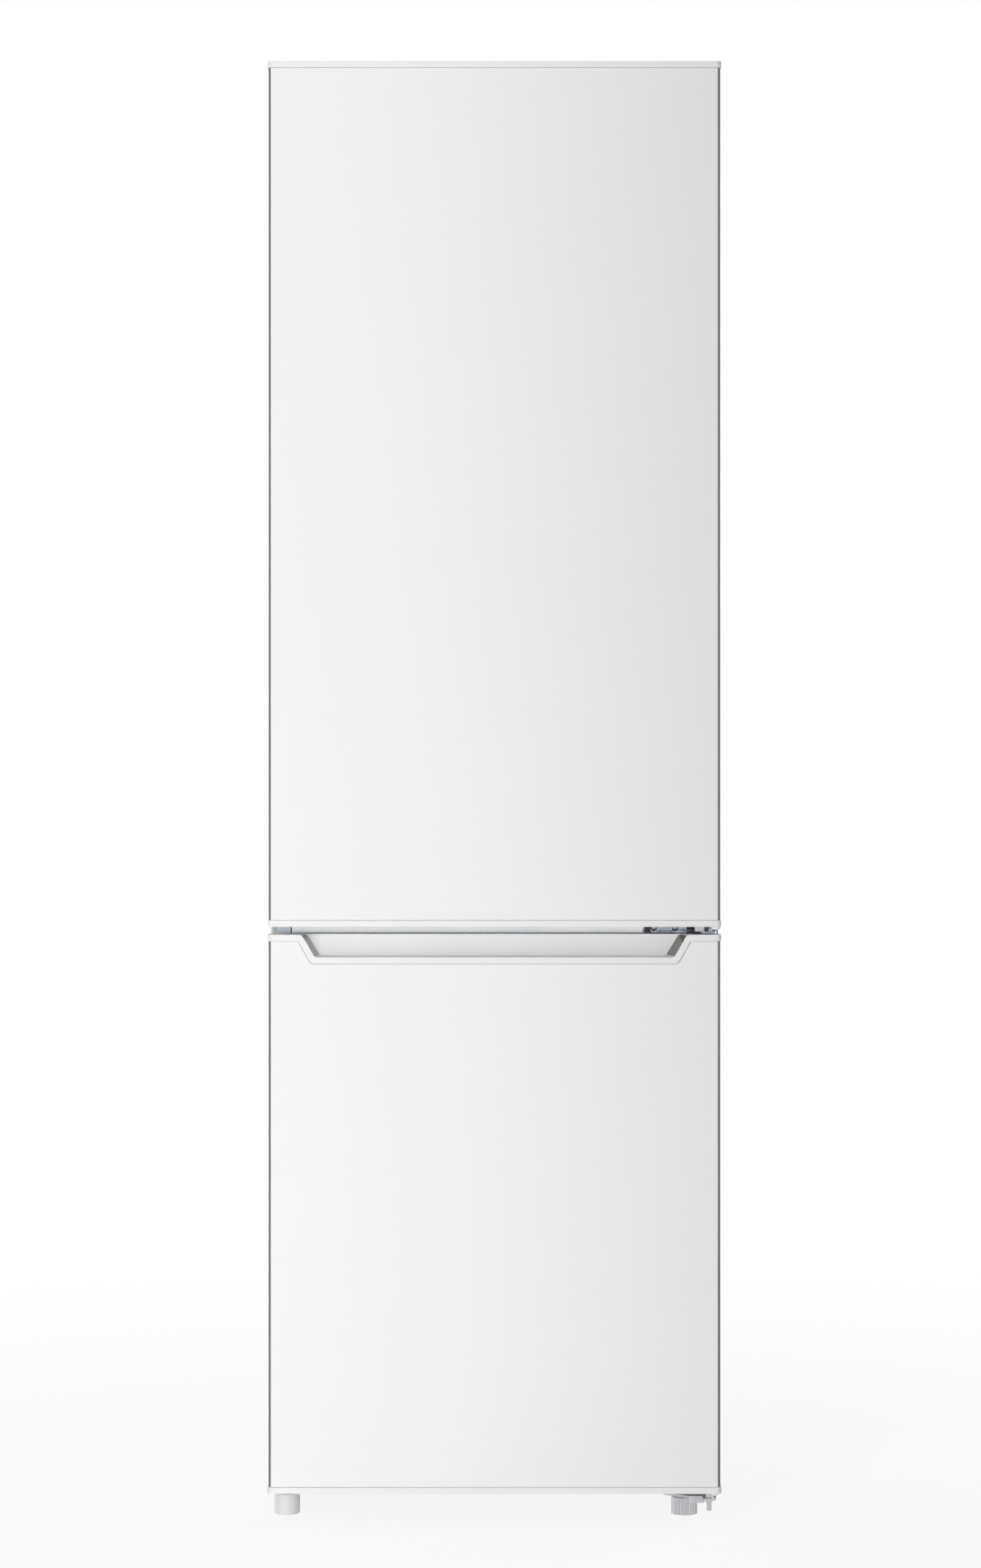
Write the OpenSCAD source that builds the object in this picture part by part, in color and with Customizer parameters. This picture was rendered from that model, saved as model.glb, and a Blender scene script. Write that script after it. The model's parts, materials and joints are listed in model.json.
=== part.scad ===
// Upright two-door fridge freezer with both doors hung on the right.
// Millimetres. X runs to the right, Y to the back and Z up.
// The origin is on the floor, under the middle of the footprint.

/* [Cabinet] */
// Width of the cabinet over its outer shell
cabinet_w = 546; // [530:1:600]
// Depth of the cabinet from its front face to its back panel
cabinet_d = 470; // [460:1:520]
// Height of the cabinet's top above the floor
cabinet_top = 1757; // [1740:1:1860]
// Height of the cabinet's underside above the floor
base_z = 28; // [27:0.5:32]
// Thickness of the outer shell and back panel
shell_t = 0.8; // [0.6:0.1:1.2]
// Width of the shell's front return
shell_return = 14; // [10:1:18]
// Thickness of the base sheet
base_t = 1.2; // [1:0.1:1.4]
// Thickness of the inner liners
liner_t = 1.5; // [1.4:0.1:2]
// Insulated thickness of the fridge's side walls
fridge_wall = 46; // [40:1:50]
// Insulated thickness of the freezer's side walls
freezer_wall = 60; // [56:1:64]
// Insulated thickness of the roof
roof_wall = 52; // [45:1:60]
// Insulated thickness of the back wall
back_wall = 50; // [44:1:56]
// Height of the freezer's floor above the cabinet's underside
freezer_floor_h = 62; // [55:1:66]
// Distance from the middle of the door gap down to the freezer's ceiling
divider_below = 32; // [31:1:36]
// Distance from the middle of the door gap up to the fridge's floor
divider_above = 34; // [32:1:38]
// Corner radius of both cavities
cavity_r = 16; // [8:1:20]
// Width of the liners' front flange above and below a cavity
flange_w = 9; // [6:1:12]
// Depth that the cabinet stands off the wall behind its back panel
rear_gap = 30; // [26:1:40]

/* [Compressor bay] */
// Height of the compressor bay's ceiling above the floor
deck_z = 238; // [232:1:244]
// Depth of the compressor bay from the back panel forwards
deck_depth = 169; // [164:1:172]
// Insulation between the compressor bay and the freezer
step_wall = 31; // [28:1:33]
// Radius of the compressor's pot
pot_r = 70; // [60:1:72]
// Height of the compressor's pot
pot_h = 146; // [120:1:148]
// Place of the compressor's axis to the right of the middle
pot_x = 90; // [60:1:110]
// Half the spacing of the compressor's mounts across the bay
mount_dx = 86; // [82:1:92]
// Half the spacing of the compressor's mounts along the bay
mount_dy = 54; // [50:1:58]
// Radius of a rubber compressor mount
mount_r = 10; // [8:0.5:12]
// Height of a rubber compressor mount
mount_h = 14; // [10:1:16]
// Radius of the studs that hold the compressor
stud_r = 3; // [2.5:0.1:4]
// Height of the evaporating tray
tray_h = 18; // [14:1:19]

/* [Doors] */
// Distance that the doors' end trims stand out past the cabinet on each side
door_overhang = 1; // [0.6:0.1:3]
// Thickness of a door from its front to its inner face
door_t = 46; // [44:1:54]
// Height of the freezer door's underside above the floor
door_base = 37.8; // [37:0.1:42]
// Height of the middle of the gap between the doors
door_split = 716.4; // [712:0.1:726]
// Height of the gap between the doors
door_gap = 9.7; // [9:0.1:12]
// Height of the fridge door's top above the cabinet's top
door_rise = 7.8; // [7.6:0.1:12]
// Thickness of the door skins
skin_t = 0.6; // [0.5:0.1:1]
// Radius of the skins' long vertical edges
edge_r = 5; // [3:0.5:8]
// Visible height of an end trim
trim_h = 7.5; // [6:0.1:8]
// Distance that an end trim stands proud of the skin
trim_proud = 1.5; // [1:0.1:3]
// Depth that an end trim reaches into the skin
plug_h = 8; // [7:0.5:10]
// Width of the skins' return behind the door
skin_return = 11; // [8:1:13]
// Thickness of a closed door seal
seal_t = 14; // [12:1:18]
// Width of a door seal
seal_w = 14; // [12:1:15]
// Distance of a seal from the edge of its door
seal_inset = 14; // [13.6:0.1:15]
// Gap between a closed seal and the cabinet
seal_gap = 0.2; // [0.1:0.1:0.5]

/* [Hand scoop] */
// Distance from the side of the door's skin to the scoop's end at its top edge
scoop_end = 40.5; // [38:0.5:70]
// Distance that each end of the scoop leans in from the top edge to its floor
scoop_lean = 15.5; // [10:0.5:20]
// Height of the scoop
scoop_h = 27.1; // [20:0.1:32]
// Depth of the scoop from the front of the door
scoop_reach = 28; // [22:1:30]
// Width of the band round the scoop
scoop_rim = 7.8; // [5:0.1:9]
// Radius of the scoop's lower corners
scoop_r = 4; // [2:0.5:6]
// Radius of the lip where the scoop opens into the door's top edge
lip_r = 7; // [3:0.5:8]
// Thickness of the scoop's back wall
scoop_wall = 2.4; // [1.5:0.1:3]

/* [Door inner panels] */
// Depth of the fridge door's upright ribs
dyke_d = 38; // [30:1:42]
// Width of an upright rib
dyke_w = 14; // [10:1:16]
// Gap between the upright ribs and the fridge's side walls
dyke_gap = 13; // [8:1:16]
// Depth of the freezer door's raised panel
panel_d = 5; // [3:0.5:8]
// Depth of a door bin
bin_d = 98; // [80:1:98]
// Wall thickness of the bins
bin_t = 2.2; // [1.8:0.1:3]
// Gap between a bin and the upright ribs
bin_gap = 5; // [4:0.5:6]
// Height of the bottle shelf
bottle_h = 112; // [80:1:120]
// Height of a small bin
bin_h = 68; // [50:1:90]
// Height of the bottle shelf above the fridge's floor
bottle_z = 22; // [16:1:40]
// Height of the fridge's ceiling above the floor of the top bin
bin_top_gap = 236.6; // [200:0.1:250]
// Height that a bin lifts off its lugs
bin_lift = 15; // [8:1:20]

/* [Hinges] */
// Distance of the hinge axis from the side of the doors
hinge_inset = 13.5; // [12.5:0.5:14]
// Distance of the hinge axis behind the front of the doors
hinge_setback = 30; // [28:1:31]
// Radius of the hinge pins
pin_r = 3; // [2.5:0.1:3.5]
// Clearance round a hinge pin in its bush
pin_gap = 0.05; // [0.02:0.01:0.09]
// Outer radius of a hinge bush
bush_r = 6; // [5:0.1:7]
// Length of a hinge pin inside its bush
pin_in = 14; // [10:1:16]
// Radius of the hinge plates round the pin
hinge_end_r = 8.5; // [7:0.5:10]
// Thickness of the top hinge plate
top_plate_t = 3; // [2:0.1:3.2]
// Thickness of the middle hinge plate
middle_plate_t = 2.5; // [2:0.1:3]
// Thickness of the bottom hinge plate
bottom_plate_t = 2.8; // [2:0.1:3]
// Length of the middle hinge's fixing flange
flange_len = 88; // [70:1:100]
// Radius of the heads of the hinge screws
screw_head_r = 3.6; // [3:0.1:4]
// Height of the heads of the hinge screws
screw_head_h = 2; // [1.5:0.1:2.6]
// Radius of the hinge screws' shanks
screw_r = 2; // [1.5:0.1:2.4]

/* [Feet] */
// Radius of the front feet
foot_r = 15.9; // [13:0.1:18]
// Height of the smooth left foot
left_foot_h = 25.5; // [20:0.5:26]
// Height of the ribbed right foot
right_foot_h = 21; // [16:0.5:22]
// Distance of the left foot's axis from the side of the cabinet
left_foot_inset = 19.2; // [18.8:0.1:30]
// Distance of the right foot's axis from the hinge axis
right_foot_gap = 27.9; // [26:0.1:36]
// Distance of the front feet behind the cabinet's face
foot_setback = 16.5; // [16:0.5:30]
// Radius of the feet's threaded studs
foot_stud_r = 4; // [3:0.1:5]
// Height of the studs above the cabinet's underside
foot_stud_h = 24; // [16:1:28]
// Number of ribs round the right foot
foot_ribs = 36; // [24:1:48]
// Radius of the rear rollers
roller_r = 13.4; // [12:0.1:13.6]
// Width of a rear roller
roller_w = 16; // [12:1:24]
// Distance of the rollers from the sides of the cabinet
roller_inset = 51; // [45:1:70]
// Distance of the rollers' axle in front of the back panel
roller_setback = 24; // [20:1:40]

/* [Fridge interior] */
// Thickness of the glass shelves
glass_t = 4; // [3:0.5:5]
// Height of the crisper lid above the fridge's floor
lid_z = 188; // [184:1:200]
// Height of the fridge's ceiling above the top shelf
shelf_top_gap = 196.6; // [180:0.1:240]
// Distance of the shelves' front behind the door bins
shelf_gap = 16; // [13:1:24]
// Width of the ribs that carry the shelves
rib_w = 9; // [6:1:12]
// Height of the ribs that carry the shelves
rib_h = 7; // [5:1:10]
// Height of the crisper
crisper_h = 172; // [140:1:175]
// Gap between the crisper and the fridge's side walls
crisper_side = 22; // [20:1:40]
// Distance of the crisper's front behind the door bins
crisper_gap = 10.5; // [10:0.5:14]
// Gap between the crisper and the back of the fridge
crisper_back_gap = 15; // [12:1:60]
// Wall thickness of the drawers
drawer_t = 2.4; // [2:0.1:3.5]
// Radius of the thermostat knob
knob_r = 15; // [10:0.5:16]
// Height of the control housing below the roof
control_h = 38; // [36:1:45]
// Half width of the control housing
control_half = 110; // [80:1:120]

/* [Freezer interior] */
// Height from one evaporator shelf to the next
freezer_pitch = 196; // [194:1:197]
// Radius of the evaporator and suction tube
tube_r = 4; // [3:0.1:4.2]
// Distance between the runs of an evaporator shelf
run_pitch = 30; // [26:1:34]
// Height of a freezer drawer
freezer_drawer_h = 168; // [140:1:170]
// Gap between the freezer drawers and the freezer's side walls
drawer_side = 10; // [9:0.5:20]
// Distance of the freezer drawers behind the cabinet's face
drawer_setback = 32; // [32:1:40]
// Clearance of a drawer over what carries it
glide = 0.3; // [0.2:0.1:0.6]

/* [Condenser] */
// Distance of the condenser's runs from the sides of the cabinet
coil_side = 58; // [53:1:80]
// Number of the condenser's tube runs
coil_rows = 21; // [17:2:21]
// Distance of the condenser's top run below the top of the cabinet
coil_top_gap = 191; // [150:1:240]
// Height of the condenser's bottom run above the compressor bay
coil_rise = 88; // [70:1:110]
// Radius of the condenser's tube
coil_r = 2.4; // [2:0.1:3]
// Number of the condenser's upright wires
wires = 36; // [24:1:48]
// Radius of an upright wire
wire_r = 0.8; // [0.6:0.1:1]
// Distance of the condenser's tube behind the back panel
coil_standoff = 12; // [10:1:16]

/* [Hidden] */
$fn = 48;

// Overshoot of a cut beyond the face that it opens
cut = 1;
// Clearance between pieces that are pushed or clipped together
slip = 0.1;

// Planes along the depth, worked out from the overall depth
overall_d = door_t + seal_t + cabinet_d + rear_gap;
door_front = -overall_d / 2;
door_back = door_front + door_t;
face_y = door_back + seal_t;
back_y = face_y + cabinet_d;
wall_y = back_y + rear_gap;
deck_y = back_y - deck_depth;

// Planes across the width
cab_x = cabinet_w / 2;
door_x = cab_x + door_overhang;
fridge_x = cab_x - fridge_wall;
freezer_x = cab_x - freezer_wall;
dyke_in = fridge_x - dyke_gap - dyke_w;
crisper_half = fridge_x - crisper_side;
freezer_drawer_half = freezer_x - drawer_side;
coil_half = cab_x - coil_side;
roller_x = cab_x - roller_inset;
hinge_x = door_x - hinge_inset;
hinge_y = door_front + hinge_setback;

// Heights of the cavities and doors
fridge_floor = door_split + divider_above;
fridge_roof = cabinet_top - roof_wall;
freezer_floor = base_z + freezer_floor_h;
freezer_roof = door_split - divider_below;
fridge_door_z = [door_split + door_gap / 2, cabinet_top + door_rise];
freezer_door_z = [door_base, door_split - door_gap / 2];
cavity_back = back_y - back_wall;
step_y = deck_y - step_wall;
step_z = deck_z + step_wall;
middle_plate_z = freezer_door_z[1] + 0.7;
bottom_plate_z = base_z - bottom_plate_t;

// Door bins, shelves and drawers
bin_back = door_back + 0.5 + bin_d;
bin_half = dyke_in - bin_gap;
bottle_shelf_z = fridge_floor + bottle_z;
bin_pitch = (fridge_roof - bin_top_gap - bottle_shelf_z) / 3;
bin_z = [for (i = [1:3]) bottle_shelf_z + bin_pitch * i];
shelf_front = bin_back + shelf_gap;
shelf_back = cavity_back - 4;
shelf_half = fridge_x - 1.2;
lid_level = fridge_floor + lid_z;
shelf_pitch = (fridge_roof - shelf_top_gap - lid_level) / 3;
shelf_z = [for (i = [1:3]) lid_level + shelf_pitch * i];
crisper_front = bin_back + crisper_gap;
crisper_back = cavity_back - crisper_back_gap;
crisper_lift = 5;
crisper_floor = fridge_floor + crisper_lift;
evaporator_z = [for (i = [1:2]) freezer_floor + freezer_pitch * i];
drawer_front = face_y + drawer_setback;
runner_h = 4;
freezer_drawer_z = [
    freezer_floor + runner_h + glide,
    evaporator_z[0] + tube_r + glide,
    evaporator_z[1] + tube_r + glide
];

// Compressor, feet and rollers
pot_y = deck_y + deck_depth / 2;
pan_z = base_z + base_t;
foot_plate_t = 2.4;
pot_z = pan_z + mount_h + foot_plate_t;
tray_z = pot_z + pot_h + slip;
tray_half_w = 62;
tray_half_d = 66;
drain_setback = 56;
drain_y = pot_y + drain_setback;
foot_y = face_y + foot_setback;
roller_y = back_y - roller_setback;
axle_r = 3;
coil_y = back_y + coil_standoff;
coil_z0 = deck_z + coil_rise;
coil_pitch = (cabinet_top - coil_top_gap - coil_z0) / (coil_rows - 1);
coil_bend = coil_pitch / 2;
coil_low = deck_z - 20;
pipe_r = 3.2;
pipe_seat = 0.4;
control_d = 150;
control_front = bin_back + 17;
knob_x = 60;
knob_z = fridge_roof - control_h / 2;
lamp_x = -40;

// Points of an arc, from one angle to another
function arc(cx, cy, r, a0, a1, n = 6) =
    [for (i = [0:n]) let (a = a0 + (a1 - a0) * i / n) [cx + r * cos(a), cy + r * sin(a)]];

// Outline of a rectangle with four rounded corners
function round_rect(x0, x1, y0, y1, r, n = 6) = concat(
    arc(x1 - r, y0 + r, r, -90, 0, n), arc(x1 - r, y1 - r, r, 0, 90, n),
    arc(x0 + r, y1 - r, r, 90, 180, n), arc(x0 + r, y0 + r, r, 180, 270, n));

// Outline of a rectangle with its two front corners rounded
function front_rounded(half, y0, y1, r, n = 8) = concat(
    arc(-half + r, y0 + r, r, 180, 270, n), arc(half - r, y0 + r, r, 270, 360, n),
    [[half, y1], [-half, y1]]);

function unit(v) = v / norm(v);

// Arc that rounds the corner at b, between its neighbours a and c
function corner(a, b, c, r, n = 4) = let (
    u = unit(a - b),
    v = unit(c - b),
    half = acos(u * v) / 2,
    m = b + unit(u + v) * r / sin(half),
    s = b + u * r / tan(half) - m,
    e = b + v * r / tan(half) - m,
    a0 = atan2(s.y, s.x),
    turn = (atan2(e.y, e.x) - a0 + 540) % 360 - 180
) [for (i = [0:n]) m + r * [cos(a0 + turn * i / n), sin(a0 + turn * i / n)]];

// Outline whose corners are rounded by the radius given for each
function rounded(p, radii) = [for (i = [0:len(p) - 1])
    each radii[i] > 0 ? corner(p[(i + len(p) - 1) % len(p)], p[i], p[(i + 1) % len(p)], radii[i])
        : [p[i]]];

// Back-and-forth run of a tube in a plane, with half-round bends at its sides
function serpentine(half, rows, pitch, n = 6) = [for (i = [0:rows - 1])
    let (s = i % 2 == 0 ? 1 : -1, end = half - pitch / 2, y = i * pitch)
    each concat([[-s * end, y], [s * end, y]],
        i == rows - 1 ? [] : [for (k = [1:n - 1]) let (a = -90 + 180 * k / n)
            [s * (end + pitch / 2 * cos(a)), y + pitch / 2 * (1 + sin(a))]])];

// Direction of a path at each of its points
function tangents(p) = [for (i = [0:len(p) - 1])
    unit(p[min(i + 1, len(p) - 1)] - p[max(i - 1, 0)])];

// Side direction carried along a path without twist
function normals(t, start) = [for (
    i = 0, n = unit(start - (start * t[0]) * t[0]);
    i < len(t);
    i = i + 1, n = i < len(t) ? unit(n - (n * t[i]) * t[i]) : n) n];

// Path with its inner points turned into short bends of a given radius
function bent(p, r, n = 4) = [for (i = [0:len(p) - 1])
    each i == 0 || i == len(p) - 1 ? [p[i]] : let (
        u = unit(p[i - 1] - p[i]),
        v = unit(p[i + 1] - p[i]),
        half = acos(u * v) / 2,
        m = p[i] + unit(u + v) * r / sin(half),
        s = p[i] + u * r / tan(half) - m,
        e = p[i] + v * r / tan(half) - m,
        turn = 180 - 2 * half
    ) [for (k = [0:n]) m + (sin(turn * (1 - k / n)) * s + sin(turn * k / n) * e) / sin(turn)]];

// Box between two corners
module block(x0, x1, y0, y1, z0, z1)
    translate([x0, y0, z0]) cube([x1 - x0, y1 - y0, z1 - z0]);

// Outline in X and Z, drawn out along Y
module prism_y(points, y0, y1)
    translate([0, y1, 0]) rotate([90, 0, 0]) linear_extrude(y1 - y0) polygon(points);

// Outline in Y and Z, drawn out along X
module prism_x(points, x0, x1)
    translate([x0, 0, 0]) rotate([90, 0, 90]) linear_extrude(x1 - x0) polygon(points);

// Outline in X and Y, drawn out along Z
module prism_z(points, z0, z1)
    translate([0, 0, z0]) linear_extrude(z1 - z0) polygon(points);

// Upright cylinder
module post(x, y, z0, z1, r)
    translate([x, y, z0]) cylinder(h = z1 - z0, r = r);

// Cylinder along Y
module rod_y(x, z, y0, y1, r)
    translate([x, y1, z]) rotate([90, 0, 0]) cylinder(h = y1 - y0, r = r);

// Cylinder along X
module rod_x(y, z, x0, x1, r)
    translate([x0, y, z]) rotate([0, 90, 0]) cylinder(h = x1 - x0, r = r);

// Round tube along a path, as one closed skin
module tube(path, r, sides = 8, start = [0, 0, 1]) {
    t = tangents(path);
    n = normals(t, start);
    count = len(path);
    polyhedron(
        points = [for (i = [0:count - 1]) for (k = [0:sides - 1]) let (a = 360 * k / sides)
            path[i] + r * (cos(a) * n[i] + sin(a) * cross(t[i], n[i]))],
        faces = concat(
            [[for (k = [0:sides - 1]) k]],
            [for (i = [0:count - 2]) for (k = [0:sides - 1])
                let (a = i * sides + k, b = i * sides + (k + 1) % sides)
                each [[a, a + sides, b + sides], [a, b + sides, b]]],
            [[for (k = [sides - 1:-1:0]) (count - 1) * sides + k]]));
}

// Places of the hinge screws, from the hinge axis and the cabinet's face
screw_x = 8;
screw_pitch = 16;
top_screw_y = 26;
flange_screw_x = 40;
flange_screw_pitch = 26;
bottom_screw_span = 38;
bottom_screw_y = 40;
bottom_screw_skew = 6;
screw_clear = 0.5;
screw_len = 12;
top_screws = [for (i = [0:2]) [hinge_x - screw_x - screw_pitch * i,
    face_y + top_screw_y * (i == 1 ? 1 : 2)]];
middle_screws = [for (i = [0, 1]) hinge_x - flange_screw_x - flange_screw_pitch * i];
bottom_screws = [for (i = [0, 1]) [hinge_x - screw_x - bottom_screw_span * i,
    face_y + bottom_screw_y + bottom_screw_skew * i]];
middle_screw_z = middle_plate_z + middle_plate_t + screw_head_r + screw_clear;

module hinge_screw_shanks(r) {
    for (p = top_screws) post(p.x, p.y, cabinet_top - screw_len, cabinet_top + top_plate_t, r);
    for (x = middle_screws)
        rod_y(x, middle_screw_z, face_y - middle_plate_t, face_y + screw_len, r);
    for (p = bottom_screws) post(p.x, p.y, bottom_plate_z, bottom_plate_z + screw_len, r);
}

module hinge_screws() color("silver") {
    hinge_screw_shanks(screw_r);
    for (p = top_screws)
        post(p.x, p.y, cabinet_top + top_plate_t, cabinet_top + top_plate_t + screw_head_h,
            screw_head_r);
    for (x = middle_screws)
        rod_y(x, middle_screw_z, face_y - middle_plate_t - screw_head_h,
            face_y - middle_plate_t, screw_head_r);
    for (p = bottom_screws)
        post(p.x, p.y, bottom_plate_z - screw_head_h, bottom_plate_z, screw_head_r);
}

// Clearance holes for the hinge screws
module screw_holes() hinge_screw_shanks(screw_r + slip);

// Cabinet

module outer_shell() color("white") difference() {
    block(-cab_x, cab_x, face_y, back_y, base_z, cabinet_top);
    block(-cab_x + shell_t, cab_x - shell_t, face_y + shell_t, back_y + cut,
        base_z - cut, cabinet_top - shell_t);
    block(-cab_x + shell_return, cab_x - shell_return, face_y - cut, face_y + cut,
        base_z - cut, cabinet_top - shell_return);
    screw_holes();
}

module back_panel() color("gainsboro") difference() {
    block(-cab_x + shell_t, cab_x - shell_t, back_y - shell_t, back_y, deck_z,
        cabinet_top - shell_t);
    for (x = bracket_x, z = bracket_z) rod_y(x, z, back_y - cut * 2, back_y + cut, clip_r + slip);
}

foot_places = [[left_foot_inset - cab_x, foot_y], [hinge_x - right_foot_gap, foot_y]];

module base_frame() color("lightgray") difference() {
    union() {
        block(-cab_x + shell_t, cab_x - shell_t, face_y + shell_t, back_y, base_z, pan_z);
        block(-cab_x + shell_return, cab_x - shell_return, face_y, face_y + base_t, base_z,
            freezer_floor - flange_w);
        block(-cab_x + shell_t, cab_x - shell_t, deck_y, deck_y + base_t, base_z, deck_z);
        block(-cab_x + shell_t, cab_x - shell_t, deck_y, back_y, deck_z - base_t, deck_z);
        for (s = [-1, 1]) roller_fork(s);
        for (s = [-1, 1], t = [-1, 1])
            post(pot_x + s * mount_dx, pot_y + t * mount_dy, base_z,
                pot_z + foot_plate_t + stud_r, stud_r);
        for (p = foot_places) post(p.x, p.y, pan_z - slip, pan_z + nut_h, nut_r);
    }
    for (p = foot_places)
        post(p.x, p.y, base_z - cut, pan_z + nut_h + cut, foot_stud_r + pin_gap);
    post(pot_x, drain_y, deck_z - base_t - cut, deck_z + cut, drain_r + slip);
    screw_holes();
}

nut_r = 8;
nut_h = 6;
fork_t = 2;
fork_gap = 1.5;
fork_half = 9;
fork_drop = 7;

// Pair of plates that holds one end of the rollers' axle
module roller_fork(s) difference() {
    for (t = [-1, 1]) {
        inner = t * (roller_w / 2 + fork_gap);
        outer = t * (roller_w / 2 + fork_gap + fork_t);
        x0 = s * roller_x + min(inner, outer);
        block(x0, x0 + fork_t, roller_y - fork_half, roller_y + fork_half, roller_r - fork_drop,
            base_z + slip);
    }
    rod_x(roller_y, roller_r, s * roller_x - roller_w, s * roller_x + roller_w,
        axle_r + pin_gap);
}

function fridge_cavity(grow) = round_rect(-fridge_x - grow, fridge_x + grow,
    fridge_floor - grow, fridge_roof + grow, cavity_r + grow);
function freezer_cavity(z0, grow) = round_rect(-freezer_x - grow, freezer_x + grow,
    z0 - grow, freezer_roof + grow, cavity_r + grow);

// Space inside the freezer's liner, stepped over the compressor bay
module freezer_space(grow) {
    prism_y(freezer_cavity(freezer_floor, grow), face_y - cut, step_y + grow);
    prism_y(freezer_cavity(step_z, grow), face_y - cut, cavity_back + grow);
}

module cabinet_foam() color("khaki") difference() {
    block(-cab_x + shell_t, cab_x - shell_t, face_y + liner_t, back_y - shell_t, pan_z,
        cabinet_top - shell_t);
    prism_y(fridge_cavity(liner_t), face_y - cut, cavity_back + liner_t);
    freezer_space(liner_t);
    block(-cab_x, cab_x, deck_y, back_y + cut, base_z, deck_z);
    for (p = foot_places)
        post(p.x, p.y, base_z, base_z + foot_stud_h + nut_h, nut_r + slip);
    plate_space(slip);
    drain_bore(drain_r + slip);
    for (x = bracket_x, z = bracket_z)
        rod_y(x, z, back_y - clip_len - slip, back_y + cut, clip_r + slip);
    screw_holes();
}

module fridge_liner() color("white") difference() {
    union() {
        difference() {
            union() {
                prism_y(fridge_cavity(liner_t), face_y, cavity_back + liner_t);
                block(-cab_x + shell_return, cab_x - shell_return, face_y, face_y + liner_t,
                    fridge_floor - flange_w, cabinet_top - shell_return);
            }
            prism_y(fridge_cavity(0), face_y - cut, cavity_back);
        }
        for (s = [-1, 1]) {
            for (z = concat([lid_level], shelf_z)) side_rib(s, fridge_x, rib_w, shelf_front,
                shelf_back, z - rib_h, z);
            side_rib(s, fridge_x, crisper_side - guide_gap, crisper_front, cavity_back - rib_end,
                fridge_floor + cavity_r, fridge_floor + cavity_r + guide_h);
        }
        crisper_runners();
    }
    rod_y(pot_x, drain_z, cavity_back - cut, cavity_back + liner_t + cut, drain_in_r + slip);
}

guide_gap = 2;
guide_h = 22;
rib_end = 10;
runner_inset = 55;
runner_half_w = 12;
runner_front = 20;
runner_x = crisper_half - runner_inset;

// Rib on the inside of a side wall; its root is buried in the wall
module side_rib(s, wall_x, width, y0, y1, z0, z1) {
    x_in = s * (wall_x - width);
    x_out = s * (wall_x + liner_t / 2);
    block(min(x_in, x_out), max(x_in, x_out), y0, y1, z0, z1);
}

// Low rails on the floor of the fridge that carry the crisper
module crisper_runners()
    for (x = [-runner_x, runner_x])
        block(x - runner_half_w, x + runner_half_w, crisper_front + runner_front,
            cavity_back - rib_end, fridge_floor - liner_t / 2, crisper_floor - glide);

module freezer_liner() color("white") {
    difference() {
        union() {
            intersection() {
                freezer_space(liner_t);
                block(-cab_x, cab_x, face_y, back_y, base_z, cabinet_top);
            }
            block(-cab_x + shell_return, cab_x - shell_return, face_y, face_y + liner_t,
                freezer_floor - flange_w, freezer_roof + flange_w);
        }
        freezer_space(0);
    }
    for (s = [-1, 1]) {
        for (i = [0, 1]) side_rib(s, freezer_x, evaporator_side + ledge_w, drawer_front,
            i == 0 ? step_y : cavity_back - evaporator_gap - tube_r - slip * 20,
            evaporator_z[i] - tube_r - rib_h, evaporator_z[i] - tube_r);
        block(s * runner_x - runner_half_w, s * runner_x + runner_half_w,
            drawer_front + runner_front, step_y - rib_end, freezer_floor - liner_t / 2,
            freezer_floor + runner_h);
    }
}

// Steel front of the wall between the two cavities
module middle_rail() color("whitesmoke") difference() {
    block(-cab_x + shell_return, cab_x - shell_return, face_y, face_y + shell_t,
        freezer_roof + flange_w, fridge_floor - flange_w);
    screw_holes();
}

// Hinges

hinge_reach = 9;

module top_hinge() color("silver") difference() {
    union() {
        prism_z(rounded([
            [hinge_x + hinge_end_r, hinge_y - hinge_end_r], [hinge_x + hinge_end_r, face_y + 64],
            [hinge_x - 50, face_y + 64], [hinge_x - 50, face_y + 14],
            [hinge_x - hinge_end_r, face_y + 4], [hinge_x - hinge_end_r, hinge_y - hinge_end_r]],
            [hinge_end_r - 0.1, 3, 3, 3, 2, hinge_end_r - 0.1]), cabinet_top,
            cabinet_top + top_plate_t);
        post(hinge_x, hinge_y, cabinet_top - pin_in, cabinet_top + top_plate_t, pin_r);
    }
    screw_holes();
}

cover_t = 1.2;

module top_hinge_cover() color("white") difference() {
    x0 = hinge_x - 54;
    x1 = min(hinge_x + 12, cab_x);
    y0 = face_y - 2;
    y1 = face_y + 70;
    prism_z(round_rect(x0, x1, y0, y1, 4), cabinet_top, cabinet_top + door_rise - slip);
    prism_z(round_rect(x0 + cover_t, x1 - cover_t, y0 + cover_t, y1 - cover_t, 3),
        cabinet_top - cut, cabinet_top + door_rise - slip - cover_t);
    block(hinge_x - hinge_end_r - slip * 5, x1 - cover_t, y0 - cut, y0 + 2 * cover_t,
        cabinet_top - cut, cabinet_top + top_plate_t + slip * 3);
}

middle_flange_h = 17;

module middle_hinge() color("silver") difference() {
    union() {
        prism_z(rounded([
            [hinge_x + hinge_end_r, hinge_y - hinge_end_r], [hinge_x + hinge_end_r, face_y],
            [hinge_x + hinge_end_r - flange_len, face_y],
            [hinge_x + hinge_end_r - flange_len, face_y - 7],
            [hinge_x - 26, face_y - 12], [hinge_x - hinge_end_r, hinge_y - hinge_end_r]],
            [hinge_end_r - 0.1, 0, 0, 2, 3, hinge_end_r - 1]), middle_plate_z,
            middle_plate_z + middle_plate_t);
        block(hinge_x + hinge_end_r - flange_len, hinge_x + hinge_end_r,
            face_y - middle_plate_t, face_y, middle_plate_z, middle_plate_z + middle_flange_h);
        post(hinge_x, hinge_y, middle_plate_z - pin_in, middle_plate_z + middle_plate_t + pin_in
            + door_gap / 2, pin_r);
    }
    screw_holes();
}

blank_w = 16;
blank_t = 1.5;

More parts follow.
